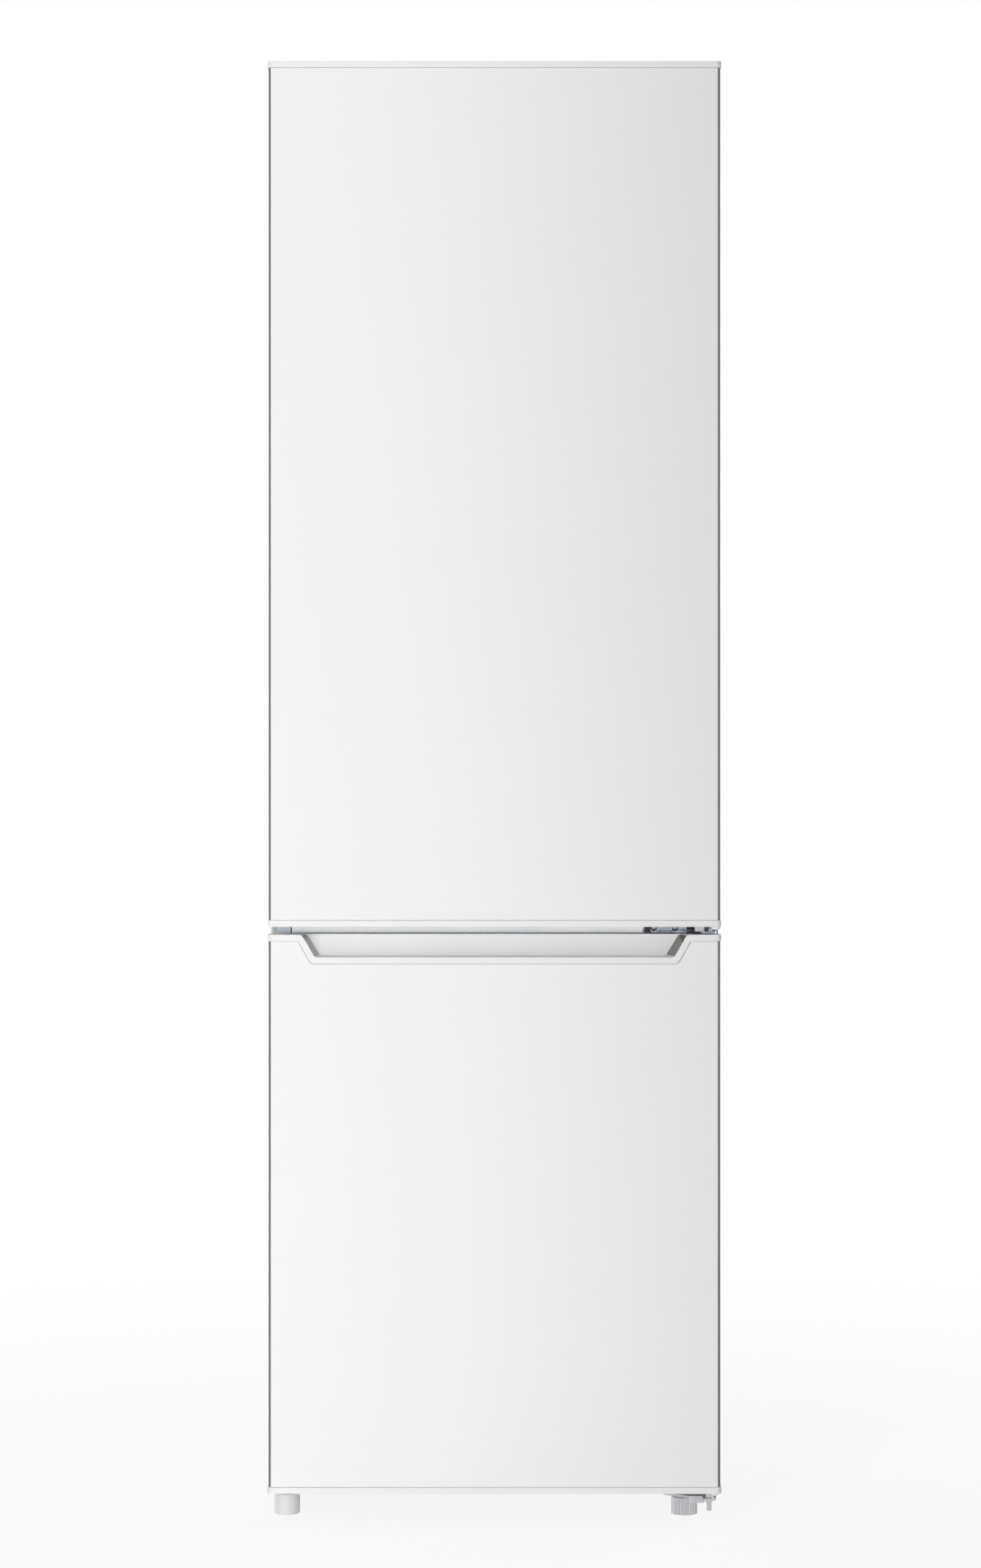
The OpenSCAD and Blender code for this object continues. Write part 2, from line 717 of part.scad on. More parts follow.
module hinge_blanking_plate() color("silver")
    prism_y(round_rect(-cab_x + 8.4, -cab_x + 8.4 + blank_w, middle_plate_z - 8,
        middle_plate_z + middle_flange_h, 1.5), face_y - blank_t, face_y);

lip_h = 5.6;
lip_x = [hinge_x - 23.9, hinge_x - 5.2];
lip_y = hinge_y + 12;

module bottom_hinge() color("silver") difference() {
    union() {
        prism_z(rounded([
            [hinge_x + hinge_end_r, hinge_y - hinge_end_r], [hinge_x + hinge_end_r, face_y + 56],
            [hinge_x - 54, face_y + 56], [hinge_x - 54, face_y + 2],
            [lip_x[0], lip_y - bottom_plate_t], [lip_x[1] - 2, lip_y - bottom_plate_t],
            [hinge_x - hinge_end_r, hinge_y - hinge_end_r]],
            [hinge_end_r - 0.1, 3, 3, 3, 1, 1, hinge_end_r - 1]), bottom_plate_z, base_z);
        block(lip_x[0], lip_x[1], lip_y - bottom_plate_t, lip_y, bottom_plate_z - lip_h, base_z);
        post(hinge_x, hinge_y, bottom_plate_z - 13, door_base + pin_in, pin_r);
        post(hinge_x, hinge_y, bottom_plate_z - 2.4, bottom_plate_z, pin_r + 1.2);
        post(hinge_x, hinge_y, base_z - slip, door_base - bush_flange - slip, pin_r + 2);
    }
    post(foot_places[1].x, foot_y, bottom_plate_z - cut, base_z + cut, foot_stud_r + pin_gap);
    screw_holes();
}

// Compressor bay

// Domed outline of the pot, as a superellipse
pot_steps = 14;
pot_outline = [for (i = [0:pot_steps]) let (a = -90 + 180 * i / pot_steps)
    [pot_r * pow(cos(a), 0.45), pot_h / 2 * sign(sin(a)) * pow(abs(sin(a)), 0.75)]];
pot_mid = pot_z + pot_h / 2;

module compressor() color("dimgray") {
    translate([pot_x, pot_y, pot_mid])
        rotate_extrude($fn = 64) polygon(concat([[0, -pot_h / 2]], [for (i = [1:pot_steps - 1])
            pot_outline[i]], [[0, pot_h / 2]]));
    translate([0, 0, pot_mid - 2]) linear_extrude(4) translate([pot_x, pot_y])
        circle(r = pot_r + 2.5, $fn = 64);
    difference() {
        prism_z(round_rect(pot_x - mount_dx - 14, pot_x + mount_dx + 14,
            pot_y - mount_dy - 12, pot_y + mount_dy + 12, 10), pot_z - foot_plate_t, pot_z + slip);
        for (s = [-1, 1], t = [-1, 1])
            post(pot_x + s * mount_dx, pot_y + t * mount_dy, pot_z - foot_plate_t - cut,
                pot_z + cut, stud_r + slip);
    }
}

module compressor_mounts() color("black")
    for (s = [-1, 1], t = [-1, 1])
        translate([pot_x + s * mount_dx, pot_y + t * mount_dy, pan_z])
            rotate_extrude() polygon([[stud_r + slip, 0], [mount_r, 0], [mount_r, 3],
                [mount_r - 2.5, 5], [mount_r - 2.5, mount_h - 5], [mount_r, mount_h - 3],
                [mount_r, mount_h], [stud_r + slip, mount_h]]);

terminal_w = 26;

module terminal_box() color("black") difference() {
    prism_z(round_rect(pot_x + pot_r - 22, pot_x + pot_r + terminal_w, pot_y - 26, pot_y + 26, 4),
        pot_mid + 3, pot_mid + 55);
    post(pot_x, pot_y, pot_mid - cut, pot_mid + 60, pot_r + slip * 3);
}

tray_t = 2;
tray_r = 10;

module evaporating_tray() color("black") difference() {
    x0 = pot_x - tray_half_w;
    x1 = pot_x + tray_half_w;
    y0 = pot_y - tray_half_d;
    y1 = pot_y + tray_half_d;
    prism_z(round_rect(x0, x1, y0, y1, tray_r), tray_z, tray_z + tray_h);
    prism_z(round_rect(x0 + tray_t, x1 - tray_t, y0 + tray_t, y1 - tray_t, tray_r - tray_t),
        tray_z + tray_t, tray_z + tray_h + cut);
}

drain_r = 6;
drain_in_r = 5;
drain_wall = 1.3;
drain_rise = 12;
drain_cap = 8;
drain_dip = 6;
drain_z = fridge_floor + drain_rise;

// Channel of the drain: down inside the back wall, and forwards into the fridge
module drain_bore(r) {
    post(pot_x, drain_y, deck_z - base_t - cut, drain_z + drain_cap + cut, r);
    rod_y(pot_x, drain_z, cavity_back, drain_y, r - drain_r + drain_in_r);
}

module drain_tube() color("lightgray") difference() {
    union() {
        post(pot_x, drain_y, tray_z + tray_h - drain_dip, drain_z + drain_cap, drain_r);
        rod_y(pot_x, drain_z, cavity_back, drain_y, drain_in_r);
    }
    post(pot_x, drain_y, tray_z, drain_z + drain_cap - drain_wall, drain_r - drain_wall);
    rod_y(pot_x, drain_z, cavity_back - cut, drain_y, drain_in_r - drain_wall);
}

drier_r = 9;
drier_x = -coil_half;
drier_h = 92;

module filter_drier() color("peru")
    translate([drier_x, coil_y, coil_low - drier_h]) rotate_extrude($fn = 32)
        polygon([[0, 0], [coil_r, 0], [coil_r, 6], [drier_r, 16], [drier_r, drier_h - 16],
            [coil_r, drier_h - 6], [coil_r, drier_h], [0, drier_h]]);

// Discharge, suction and capillary tubes between the pot, coil, drier and freezer
module refrigerant_pipes() color("peru") {
    right_x = coil_half + 12;
    left_x = pot_x - pot_r - 40;
    low = pot_mid - 12;
    mid = pot_mid + 12;
    high = pot_mid + 40;
    drier_low = coil_low - drier_h;
    tube(bent([[right_x, coil_y, coil_low], [right_x, coil_y, low], [right_x, pot_y + 10, low],
        [pot_x + pot_r - pipe_seat, pot_y + 10, low]], 9), coil_r, start = [0, 1, 0]);
    tube(bent([[pot_x - pot_r - 0.2, pot_y - 10, mid], [left_x, pot_y - 10, mid],
        [left_x, pot_y - 10, high], [left_x, deck_y + base_t, high]], 10),
        pipe_r, start = [0, 1, 0]);
    tube(bent([[drier_x, coil_y, drier_low], [drier_x, coil_y, drier_low - 22],
        [drier_x, pot_y, drier_low - 22], [drier_x, pot_y, deck_z - 40],
        [drier_x, deck_y + base_t, deck_z - 40]], 9), 1.2, start = [1, 0, 0]);
}

inlet_inset = 107;
inlet_half = 16;
inlet_d = 18;
inlet_h = 26;
inlet_setback = 6;
inlet_bore = 4.5;

module power_inlet() color("black") difference() {
    x = inlet_inset - cab_x;
    y1 = back_y - inlet_setback;
    prism_z(round_rect(x - inlet_half, x + inlet_half, y1 - inlet_d, y1, 3), pan_z,
        pan_z + inlet_h);
    rod_y(x, pan_z + inlet_h / 2 + cut, y1 - inlet_d - cut, y1 + cut, inlet_bore);
}

// Condenser on the back

coil_plane = concat(
    [[-coil_half, coil_low - coil_z0], [-coil_half, -coil_bend]],
    [for (k = [1:2]) let (a = 180 - 30 * k)
        [-coil_half + coil_bend + coil_bend * cos(a), -coil_bend + coil_bend * sin(a)]],
    serpentine(coil_half, coil_rows, coil_pitch),
    [for (k = [1:3]) let (a = 90 - 30 * k)
        [coil_half - coil_bend + (coil_bend + 12) * cos(a),
            (coil_rows - 1) * coil_pitch - coil_bend + coil_bend * sin(a)]],
    [[coil_half + 12, coil_low - coil_z0]]);

module condenser_coil() color("dimgray")
    tube([for (p = coil_plane) [p.x, coil_y, coil_z0 + p.y]], coil_r, start = [0, 1, 0]);

bracket_w = 22;
bracket_x = [for (s = [-1, 1]) s * (coil_half - coil_bend - bracket_w / 2 - 2)];
bracket_z = [for (row = [2, 9, 18]) coil_z0 + coil_pitch * row];
clip_r = 4;
clip_len = 12;
wire_y = coil_y + coil_r + wire_r + slip;
wire_half = bracket_x[1] - bracket_w / 2 - 4;

module condenser_wires() color("dimgray")
    for (i = [0:wires - 1])
        post(-wire_half + 2 * wire_half * i / (wires - 1), wire_y, coil_z0 - 14,
            coil_z0 + (coil_rows - 1) * coil_pitch + 14, wire_r);

// Plastic clips that hold the coil and keep the cabinet off the wall
module condenser_brackets() color("black")
    for (x = bracket_x, z = bracket_z) difference() {
        union() {
            prism_y(round_rect(x - bracket_w / 2, x + bracket_w / 2, z - bracket_w, z + bracket_w,
                4), back_y, wall_y);
            rod_y(x, z, back_y - clip_len, back_y + slip, clip_r);
        }
        block(x - bracket_w, x + bracket_w, coil_y - coil_r - 2 * slip,
            coil_y + coil_r + 2 * slip, z - coil_r - 2 * slip, z + coil_r + 2 * slip);
    }

// Fridge and freezer evaporators

plate_t = 2;
plate_side = 77;
plate_low = 190;
plate_high = 160;

// Roll-bonded plate against the back of the fridge's liner
module plate_space(grow)
    block(-fridge_x + plate_side - grow, fridge_x - plate_side + grow, cavity_back + liner_t,
        cavity_back + liner_t + plate_t + grow, fridge_floor + plate_low - grow,
        fridge_roof - plate_high + grow);

module fridge_evaporator() color("silver") plate_space(0);

evaporator_side = 5;
evaporator_gap = 12;
ledge_w = 6;
evaporator_half = freezer_x - evaporator_side;
evaporator_runs = floor((cavity_back - drawer_front - 2 * evaporator_gap) / run_pitch) + 1;

// Two tube shelves joined by a riser at the back
module freezer_evaporator() color("gainsboro") {
    front = cavity_back - evaporator_gap - (evaporator_runs - 1) * run_pitch;
    flat = serpentine(evaporator_half, evaporator_runs, run_pitch);
    last = flat[len(flat) - 1];
    lower = [for (p = flat) [p.x, front + p.y, evaporator_z[0]]];
    upper = [for (i = [len(flat) - 1:-1:0]) [flat[i].x, front + flat[i].y, evaporator_z[1]]];
    side = sign(last.x) * (evaporator_half - tube_r - 1);
    y = front + last.y;
    riser = bent([[last.x - sign(last.x) * 0.5, y, evaporator_z[0]], [side, y, evaporator_z[0]],
        [side, y, evaporator_z[1]], [last.x - sign(last.x) * 0.5, y, evaporator_z[1]]], 8);
    tube(concat(lower, [for (i = [1:len(riser) - 2]) riser[i]], upper), tube_r);
}

// Controls in the fridge's roof

control_outline = [
    [control_front, fridge_roof], [control_front, fridge_roof - control_h + 4],
    [control_front + 4, fridge_roof - control_h], [control_front + 70, fridge_roof - control_h],
    [control_front + control_d, fridge_roof - 20], [control_front + control_d, fridge_roof]
];
spindle_r = 4;
lens_y = [control_front + 16, control_front + 62];

control_wall = 2;

module control_housing() color("white") difference() {
    prism_x(control_outline, -control_half, control_half);
    prism_x([for (p = control_outline) [
        p.x > control_front + control_d - cut ? p.x - control_wall
            : p.x < control_front + cut ? p.x + control_wall : p.x,
        p.y == fridge_roof ? p.y + cut : p.y + control_wall]],
        -control_half + control_wall, control_half - control_wall);
    rod_y(knob_x, knob_z, control_front - cut, control_front + control_wall + cut,
        spindle_r + pin_gap);
    block(lamp_x - 42, lamp_x + 42, lens_y[0], lens_y[1], fridge_roof - control_h - cut,
        fridge_roof - control_h + control_wall + cut);
}

knob_grip = 10;

module thermostat_knob() color("white") {
    rod_y(knob_x, knob_z, control_front - knob_grip - 0.5, control_front - 0.5, knob_r);
    rod_y(knob_x, knob_z, control_front - 1, control_front + 12, spindle_r);
    block(knob_x - 2.5, knob_x + 2.5, control_front - knob_grip - 4.5,
        control_front - knob_grip, knob_z - knob_r + 1.5, knob_z + knob_r - 1.5);
}

module lamp_lens() color("lightyellow") difference() {
    block(lamp_x - 42 + slip, lamp_x + 42 - slip, lens_y[0] + slip, lens_y[1] - slip,
        fridge_roof - control_h, fridge_roof - control_h + 8);
    block(lamp_x - 39, lamp_x + 39, lens_y[0] + 3, lens_y[1] - 3,
        fridge_roof - control_h + 2, fridge_roof - control_h + 8 + cut);
}

bulb_z = fridge_roof - control_h / 2 + 3;

// Bulb lying along X, with its socket against the housing's end wall
module lamp() color("lightyellow") translate([lamp_x, (lens_y[0] + lens_y[1]) / 2, bulb_z])
    rotate([0, 90, 0]) rotate_extrude($fn = 32) polygon(concat([[0, -70 + 2 + slip], [11, -68 + slip],
        [11, -44], [7, -44], [7, -30]], arc(0, -18, 10.5, -50, 90, 8)));

// Glass shelves

module shelf_glass(z, front) color("lightcyan")
    block(-shelf_half, shelf_half, front + groove_d, shelf_back - groove_d, z, z + glass_t);

groove_d = 3;
trim_w = 14;

// Strip along the edge of a glass, which grips it in a groove
module glass_strip(z, y_edge, dir) {
    y0 = min(y_edge, y_edge + dir * trim_w);
    low = z - 2;
    difference() {
        prism_x(round_rect(y0, y0 + trim_w, low, z + glass_t + 2, 1.5, 3), -shelf_half + rib_w + 1,
            shelf_half - rib_w - 1);
        block(-shelf_half - cut, shelf_half + cut, min(y_edge + dir * groove_d, y_edge + dir * 20),
            max(y_edge + dir * groove_d, y_edge + dir * 20), z, z + glass_t);
    }
}

module glass_shelf_upper() shelf_glass(shelf_z[2], shelf_front);
module glass_shelf_middle() shelf_glass(shelf_z[1], shelf_front);
module glass_shelf_lower() shelf_glass(shelf_z[0], shelf_front);
module crisper_lid() shelf_glass(lid_level, shelf_front);

module shelf_trims() color("white")
    for (z = concat([lid_level], shelf_z)) {
        glass_strip(z, shelf_front, 1);
        glass_strip(z, shelf_back, -1);
    }

// Drawers

// Open tray with rounded upright edges and a grip along the top of its front
module drawer(half, y0, y1, z0, height, wall) {
    difference() {
        prism_z(round_rect(-half, half, y0, y1, 14), z0, z0 + height);
        prism_z(round_rect(-half + wall, half - wall, y0 + wall, y1 - wall, 14 - wall), z0 + wall,
            z0 + height + cut);
    }
    difference() {
        block(-half * 0.45, half * 0.45, y0 + wall / 2, y0 + 22, z0 + height - 30,
            z0 + height - 30 + wall);
        block(-half * 0.4, half * 0.4, y0 + wall + 14, y0 + 22 + cut, z0 + height - 31,
            z0 + height);
    }
}

module crisper_drawer() color("lightcyan")
    drawer(crisper_half, crisper_front, crisper_back, crisper_floor, crisper_h, drawer_t);

module freezer_drawer(i, y1) color("azure")
    drawer(freezer_drawer_half, drawer_front, y1, freezer_drawer_z[i], freezer_drawer_h, drawer_t);

module freezer_drawer_bottom() freezer_drawer(0, step_y - 8);
module freezer_drawer_middle() freezer_drawer(1, cavity_back - 16);
module freezer_drawer_top() freezer_drawer(2, cavity_back - 16);

// Doors

skin_half = door_x - trim_proud;
skin_front = door_front + trim_proud;

// Plan of a door's body, drawn in by a given amount at its front and sides
function door_plan(inset, back) =
    front_rounded(skin_half - inset, skin_front + inset, back, edge_r - inset);

module door_skin(z) difference() {
    prism_z(door_plan(0, door_back), z[0] + trim_h, z[1] - trim_h);
    prism_z(door_plan(skin_t, door_back - skin_t), z[0] + trim_h - cut, z[1] - trim_h + cut);
    block(-skin_half + skin_return, skin_half - skin_return, door_back - 2 * skin_t,
        door_back + cut, z[0], z[1]);
}

module door_foam(z) prism_z(door_plan(skin_t, door_back - liner_t), z[0] + trim_h + plug_h,
    z[1] - trim_h - plug_h);

// Flat cap with a plug that fills the end of the skin; dir is 1 at the top of a door
module end_trim(z_end, dir) {
    z_cap = z_end - dir * trim_h;
    z_plug = z_cap - dir * plug_h;
    prism_z(front_rounded(door_x, door_front, door_back, edge_r + trim_proud), min(z_end, z_cap),
        max(z_end, z_cap));
    prism_z(door_plan(skin_t + slip, door_back - skin_t - slip), min(z_cap, z_plug),
        max(z_cap, z_plug));
}

liner_half = skin_half - skin_return - slip;

// Inner panel of a door, between the returns of its skin
module door_panel(z) block(-liner_half, liner_half, door_back - liner_t, door_back,
    z[0] + trim_h + plug_h, z[1] - trim_h - plug_h);

seal_half = door_x - seal_inset;

// Ring of a given width, reaching in from the outside of the seal
module seal_ring(z, out, width, y0, y1) difference() {
    block(-seal_half + out, seal_half - out, y0, y1, z[0] + seal_inset + out,
        z[1] - seal_inset - out);
    block(-seal_half + out + width, seal_half - out - width, y0 - cut, y1 + cut,
        z[0] + seal_inset + out + width, z[1] - seal_inset - out - width);
}

// Foot, bellows and magnet strip of a seal
module door_seal(z) {
    y1 = face_y - seal_gap;
    seal_ring(z, 1, seal_w - 4, door_back, door_back + 3);
    seal_ring(z, 3, seal_w - 8, door_back + 3, y1 - 5);
    seal_ring(z, 0, seal_w, y1 - 5, y1);
}

bush_flange = 2.8;

// Bush for a hinge pin; its bore is open at z_open and closed at the other end
module bush(z_open, dir) {
    z_end = z_open + dir * (pin_in + 3);
    difference() {
        post(hinge_x, hinge_y, min(z_open, z_end), max(z_open, z_end), bush_r);
        post(hinge_x, hinge_y, min(z_open - dir, z_end - dir * 2),
            max(z_open - dir, z_end - dir * 2), pin_r + pin_gap);
    }
}

module bush_hole(z_open, dir)
    post(hinge_x, hinge_y, min(z_open - dir * 3, z_open + dir * (pin_in + 3 + slip)),
        max(z_open - dir * 3, z_open + dir * (pin_in + 3 + slip)), bush_r + slip);

stop_x = 7;
stop_w = 11;
stop_front = 18;
stop_d = 24;
stop_r = 2;
pocket_dip = 0.8;
pocket_side = 8;
pocket_reach = 10;
pocket_r = 6;
pocket_z = cabinet_top - pocket_dip;
pocket_front = hinge_y - hinge_end_r - pocket_reach;

// Pocket in the top of the fridge door that swings round the top hinge's plate
module hinge_pocket()
    prism_z(rounded([[hinge_x - hinge_end_r - pocket_side, pocket_front],
        [door_x + cut, pocket_front], [door_x + cut, door_back + cut],
        [hinge_x - hinge_end_r - pocket_side, door_back + cut]],
        [pocket_r, 0, 0, 0]), pocket_z, fridge_door_z[1] + cut);

module fridge_door_skin() color("white") difference() {
    door_skin(fridge_door_z);
    hinge_pocket();
}

module fridge_door_foam() color("khaki") difference() {
    door_foam(fridge_door_z);
    bush_hole(pocket_z, -1);
    bush_hole(fridge_door_z[0], 1);
}

module fridge_door_top_trim() color("white") difference() {
    end_trim(fridge_door_z[1], 1);
    bush_hole(pocket_z, -1);
    hinge_pocket();
}

module fridge_door_bottom_trim() color("white") difference() {
    union() {
        end_trim(fridge_door_z[0], -1);
        // Rounded boss under the corner beside the hinge pin
        prism_z(round_rect(hinge_x + 1.5, door_x - trim_proud, door_front + 2, hinge_y - 8, 4),
            fridge_door_z[0] - 3.4, fridge_door_z[0] + slip);
    }
    bush_hole(fridge_door_z[0], 1);
}

module fridge_door_bushes() color("white") {
    bush(pocket_z, -1);
    bush(fridge_door_z[0], 1);
    // Stop block beside the pin, over the middle hinge's plate
    prism_z(round_rect(hinge_x - stop_x - stop_w, hinge_x - stop_x, hinge_y - stop_front,
        hinge_y - stop_front + stop_d, stop_r), middle_plate_z + middle_plate_t + screw_clear,
        fridge_door_z[0]);
}

lug_h = 26;
lug_d = 30;
lug_dip = 12;
bar_d = 10;
rib_draft = 2;
bin_corner = 9;

function bin_levels() = concat([[bottle_shelf_z, bottle_h]], [for (z = bin_z) [z, bin_h]]);

// The panel, its ribs, bars and lugs stay a hair apart, so that each collides as its own shape
module fridge_door_liner() color("white") {
    z0 = fridge_floor + 12;
    z1 = fridge_roof - 14;
    y0 = door_back + slip;
    bar_x = dyke_in - slip;
    lug_x = dyke_in - bin_gap + 1;
    door_panel(fridge_door_z);
    block(-bar_x, bar_x, y0, door_back + bar_d, z0, z0 + dyke_w / 2);
    block(-bar_x, bar_x, y0, door_back + bar_d, z1 - dyke_w, z1);
    for (s = [-1, 1]) {
        prism_z(rounded([[s * dyke_in, y0], [s * (dyke_in + dyke_w), y0],
            [s * (dyke_in + dyke_w - rib_draft), door_back + dyke_d],
            [s * (dyke_in + rib_draft), door_back + dyke_d]], [0, 0, 4, 4]), z0, z1);
        for (b = bin_levels())
            prism_z([[s * lug_x, y0], [s * bar_x, y0],
                [s * (bar_x + rib_draft * lug_d / dyke_d), door_back + lug_d],
                [s * lug_x, door_back + lug_d]], b[0] + b[1] - lug_dip - lug_h,
                b[0] + b[1] - lug_dip);
    }
}

// Bin that hangs by its ears on the lugs of the door's ribs
module door_bin(z, height) {
    y0 = door_back + 0.5;
    difference() {
        prism_z(rounded([[-bin_half, y0], [bin_half, y0], [bin_half, bin_back],
            [-bin_half, bin_back]], [3, 3, bin_corner, bin_corner]), z, z + height);
        prism_z(rounded([[-bin_half + bin_t, y0 + bin_t], [bin_half - bin_t, y0 + bin_t],
            [bin_half - bin_t, bin_back - bin_t], [-bin_half + bin_t, bin_back - bin_t]],
            [1, 1, bin_corner - bin_t, bin_corner - bin_t]), z + bin_t, z + height + cut);
    }
    for (s = [-1, 1])
        block(min(s * (bin_half - bin_t / 2), s * (dyke_in - 0.5)),
            max(s * (bin_half - bin_t / 2), s * (dyke_in - 0.5)), y0 + 2, y0 + 28,
            z + height - lug_dip, z + height - lug_dip + 8);
}

module bottle_shelf() color("lightcyan") door_bin(bottle_shelf_z, bottle_h);
module door_bin_lower() color("lightcyan") door_bin(bin_z[0], bin_h);
module door_bin_upper() color("lightcyan") door_bin(bin_z[1], bin_h);
module door_bin_top() color("lightcyan") door_bin(bin_z[2], bin_h);

module fridge_door_gasket() color("whitesmoke") door_seal(fridge_door_z);
module freezer_door_gasket() color("whitesmoke") door_seal(freezer_door_z);

// Freezer door with the hand scoop in its top edge

scoop_half = skin_half - scoop_end;
scoop_floor_half = scoop_half - scoop_lean;
scoop_slope = scoop_lean / scoop_h;
rim_x = scoop_rim * sqrt(1 + pow(scoop_slope, 2));
scoop_top = freezer_door_z[1];
scoop_floor = scoop_top - scoop_h;

// Left half of the scoop's mouth, with its lip rounded over
scoop_side = let (
    top = [-scoop_half - scoop_slope * slip, scoop_top + slip],
    low = [-scoop_floor_half, scoop_floor],
    lip = corner(top - [lip_r * 2, 0], top, low, lip_r)
) concat([[lip[0].x, scoop_top + cut]], lip, corner(top, low, [0, scoop_floor], scoop_r));

// Outline of the scoop's mouth
scoop_mouth = let (last = len(scoop_side) - 1)
    concat(scoop_side, [for (i = [last:-1:0]) [-scoop_side[i].x, scoop_side[i].y]]);

// Outline of the band round the scoop, from its floor up to a given height
function scoop_band(z1, grow) = let (
    z0 = scoop_floor - scoop_rim - grow,
    low = scoop_half + rim_x - scoop_slope * (scoop_top - z0) + grow,
    high = scoop_half + rim_x - scoop_slope * (scoop_top - z1) + grow
) rounded([[-high, z1], [-low, z0], [low, z0], [high, z1]], [0, 9, 9, 0]);

scoop_back = door_front + scoop_reach;

module freezer_door_skin() color("white") difference() {
    door_skin(freezer_door_z);
    prism_y(scoop_band(scoop_top, slip), door_front - cut, scoop_back);
}

module freezer_door_foam() color("khaki") difference() {
    door_foam(freezer_door_z);
    prism_y(scoop_band(scoop_top, slip), door_front - cut, scoop_back + scoop_wall + slip);
    bush_hole(freezer_door_z[1], -1);
    bush_hole(freezer_door_z[0], 1);
}

module freezer_door_top_trim() color("white") difference() {
    union() {
        end_trim(freezer_door_z[1], 1);
        prism_y(scoop_band(scoop_top - trim_h / 2, 0), door_front, scoop_back + scoop_wall);
    }
    prism_y(scoop_mouth, door_front - cut, scoop_back);
    bush_hole(freezer_door_z[1], -1);
}

module freezer_door_bottom_trim() color("white") difference() {
    union() {
        end_trim(freezer_door_z[0], -1);
        prism_z(round_rect(hinge_x + 1.5, door_x - trim_proud - 3, door_front + 2, hinge_y - 8, 3),
            freezer_door_z[0] - 2.4, freezer_door_z[0] + slip);
    }
    bush_hole(freezer_door_z[0], 1);
}

module freezer_door_bushes() color("white") {
    bush(freezer_door_z[1], -1);
    bush(freezer_door_z[0], 1);
    difference() {
        post(hinge_x, hinge_y, freezer_door_z[0] - bush_flange, freezer_door_z[0], bush_r + 1.5);
        post(hinge_x, hinge_y, freezer_door_z[0] - bush_flange - cut, freezer_door_z[0] + cut,
            pin_r + pin_gap);
    }
}

module freezer_door_liner() color("white") {
    door_panel(freezer_door_z);
    prism_y(round_rect(-dyke_in - 5, dyke_in + 5, freezer_floor + 12, freezer_roof - 12, 12),
        door_back - liner_t / 2, door_back + panel_d);
}

// Feet and rollers

module foot_stud(p, z0) post(p.x, p.y, z0, base_z + foot_stud_h, foot_stud_r);

module left_foot() color("white") {
    foot_stud(foot_places[0], left_foot_h - cut);
    translate([foot_places[0].x, foot_places[0].y, 0]) rotate_extrude()
        polygon(concat([[0, 0]], arc(foot_r - 3, 3, 3, -90, 0, 5), [[foot_r, left_foot_h],
            [0, left_foot_h]]));
}

// Outline of the ribbed foot: its radius falls by rib_dip between the ribs
rib_dip = 0.9;
function ribbed(p) = [for (i = [0:foot_ribs - 1], k = [0:3])
    let (a = 360 * (i + k / 4) / foot_ribs, r = foot_r - (k < 2 ? 0 : rib_dip))
    p + r * [cos(a), sin(a)]];

module right_foot() color("white") {
    foot_stud(foot_places[1], right_foot_h - cut);
    prism_z(ribbed(foot_places[1]), 0, right_foot_h);
}

module rear_rollers() color("dimgray") {
    rod_x(roller_y, roller_r, -roller_x - roller_w + 2, roller_x + roller_w - 2, axle_r);
    for (s = [-1, 1])
        rod_x(roller_y, roller_r, s * roller_x - roller_w / 2, s * roller_x + roller_w / 2,
            roller_r);
}

outer_shell();
back_panel();
base_frame();
cabinet_foam();
fridge_liner();
freezer_liner();
middle_rail();
top_hinge();
top_hinge_cover();
middle_hinge();
hinge_blanking_plate();
bottom_hinge();
hinge_screws();
compressor();
compressor_mounts();
terminal_box();
condenser_coil();
condenser_wires();
condenser_brackets();
filter_drier();
refrigerant_pipes();
fridge_evaporator();
freezer_evaporator();
drain_tube();
evaporating_tray();
power_inlet();
control_housing();
thermostat_knob();
lamp();
lamp_lens();
glass_shelf_upper();
glass_shelf_middle();
glass_shelf_lower();
shelf_trims();
crisper_lid();
crisper_drawer();
freezer_drawer_top();
freezer_drawer_middle();
freezer_drawer_bottom();
fridge_door_skin();
fridge_door_foam();
fridge_door_liner();
fridge_door_gasket();
fridge_door_top_trim();
fridge_door_bottom_trim();
fridge_door_bushes();
door_bin_top();
door_bin_upper();
door_bin_lower();
bottle_shelf();
freezer_door_skin();
freezer_door_foam();
freezer_door_liner();
freezer_door_gasket();
freezer_door_top_trim();
freezer_door_bottom_trim();
freezer_door_bushes();
left_foot();
right_foot();
rear_rollers();
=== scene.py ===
import json
import math

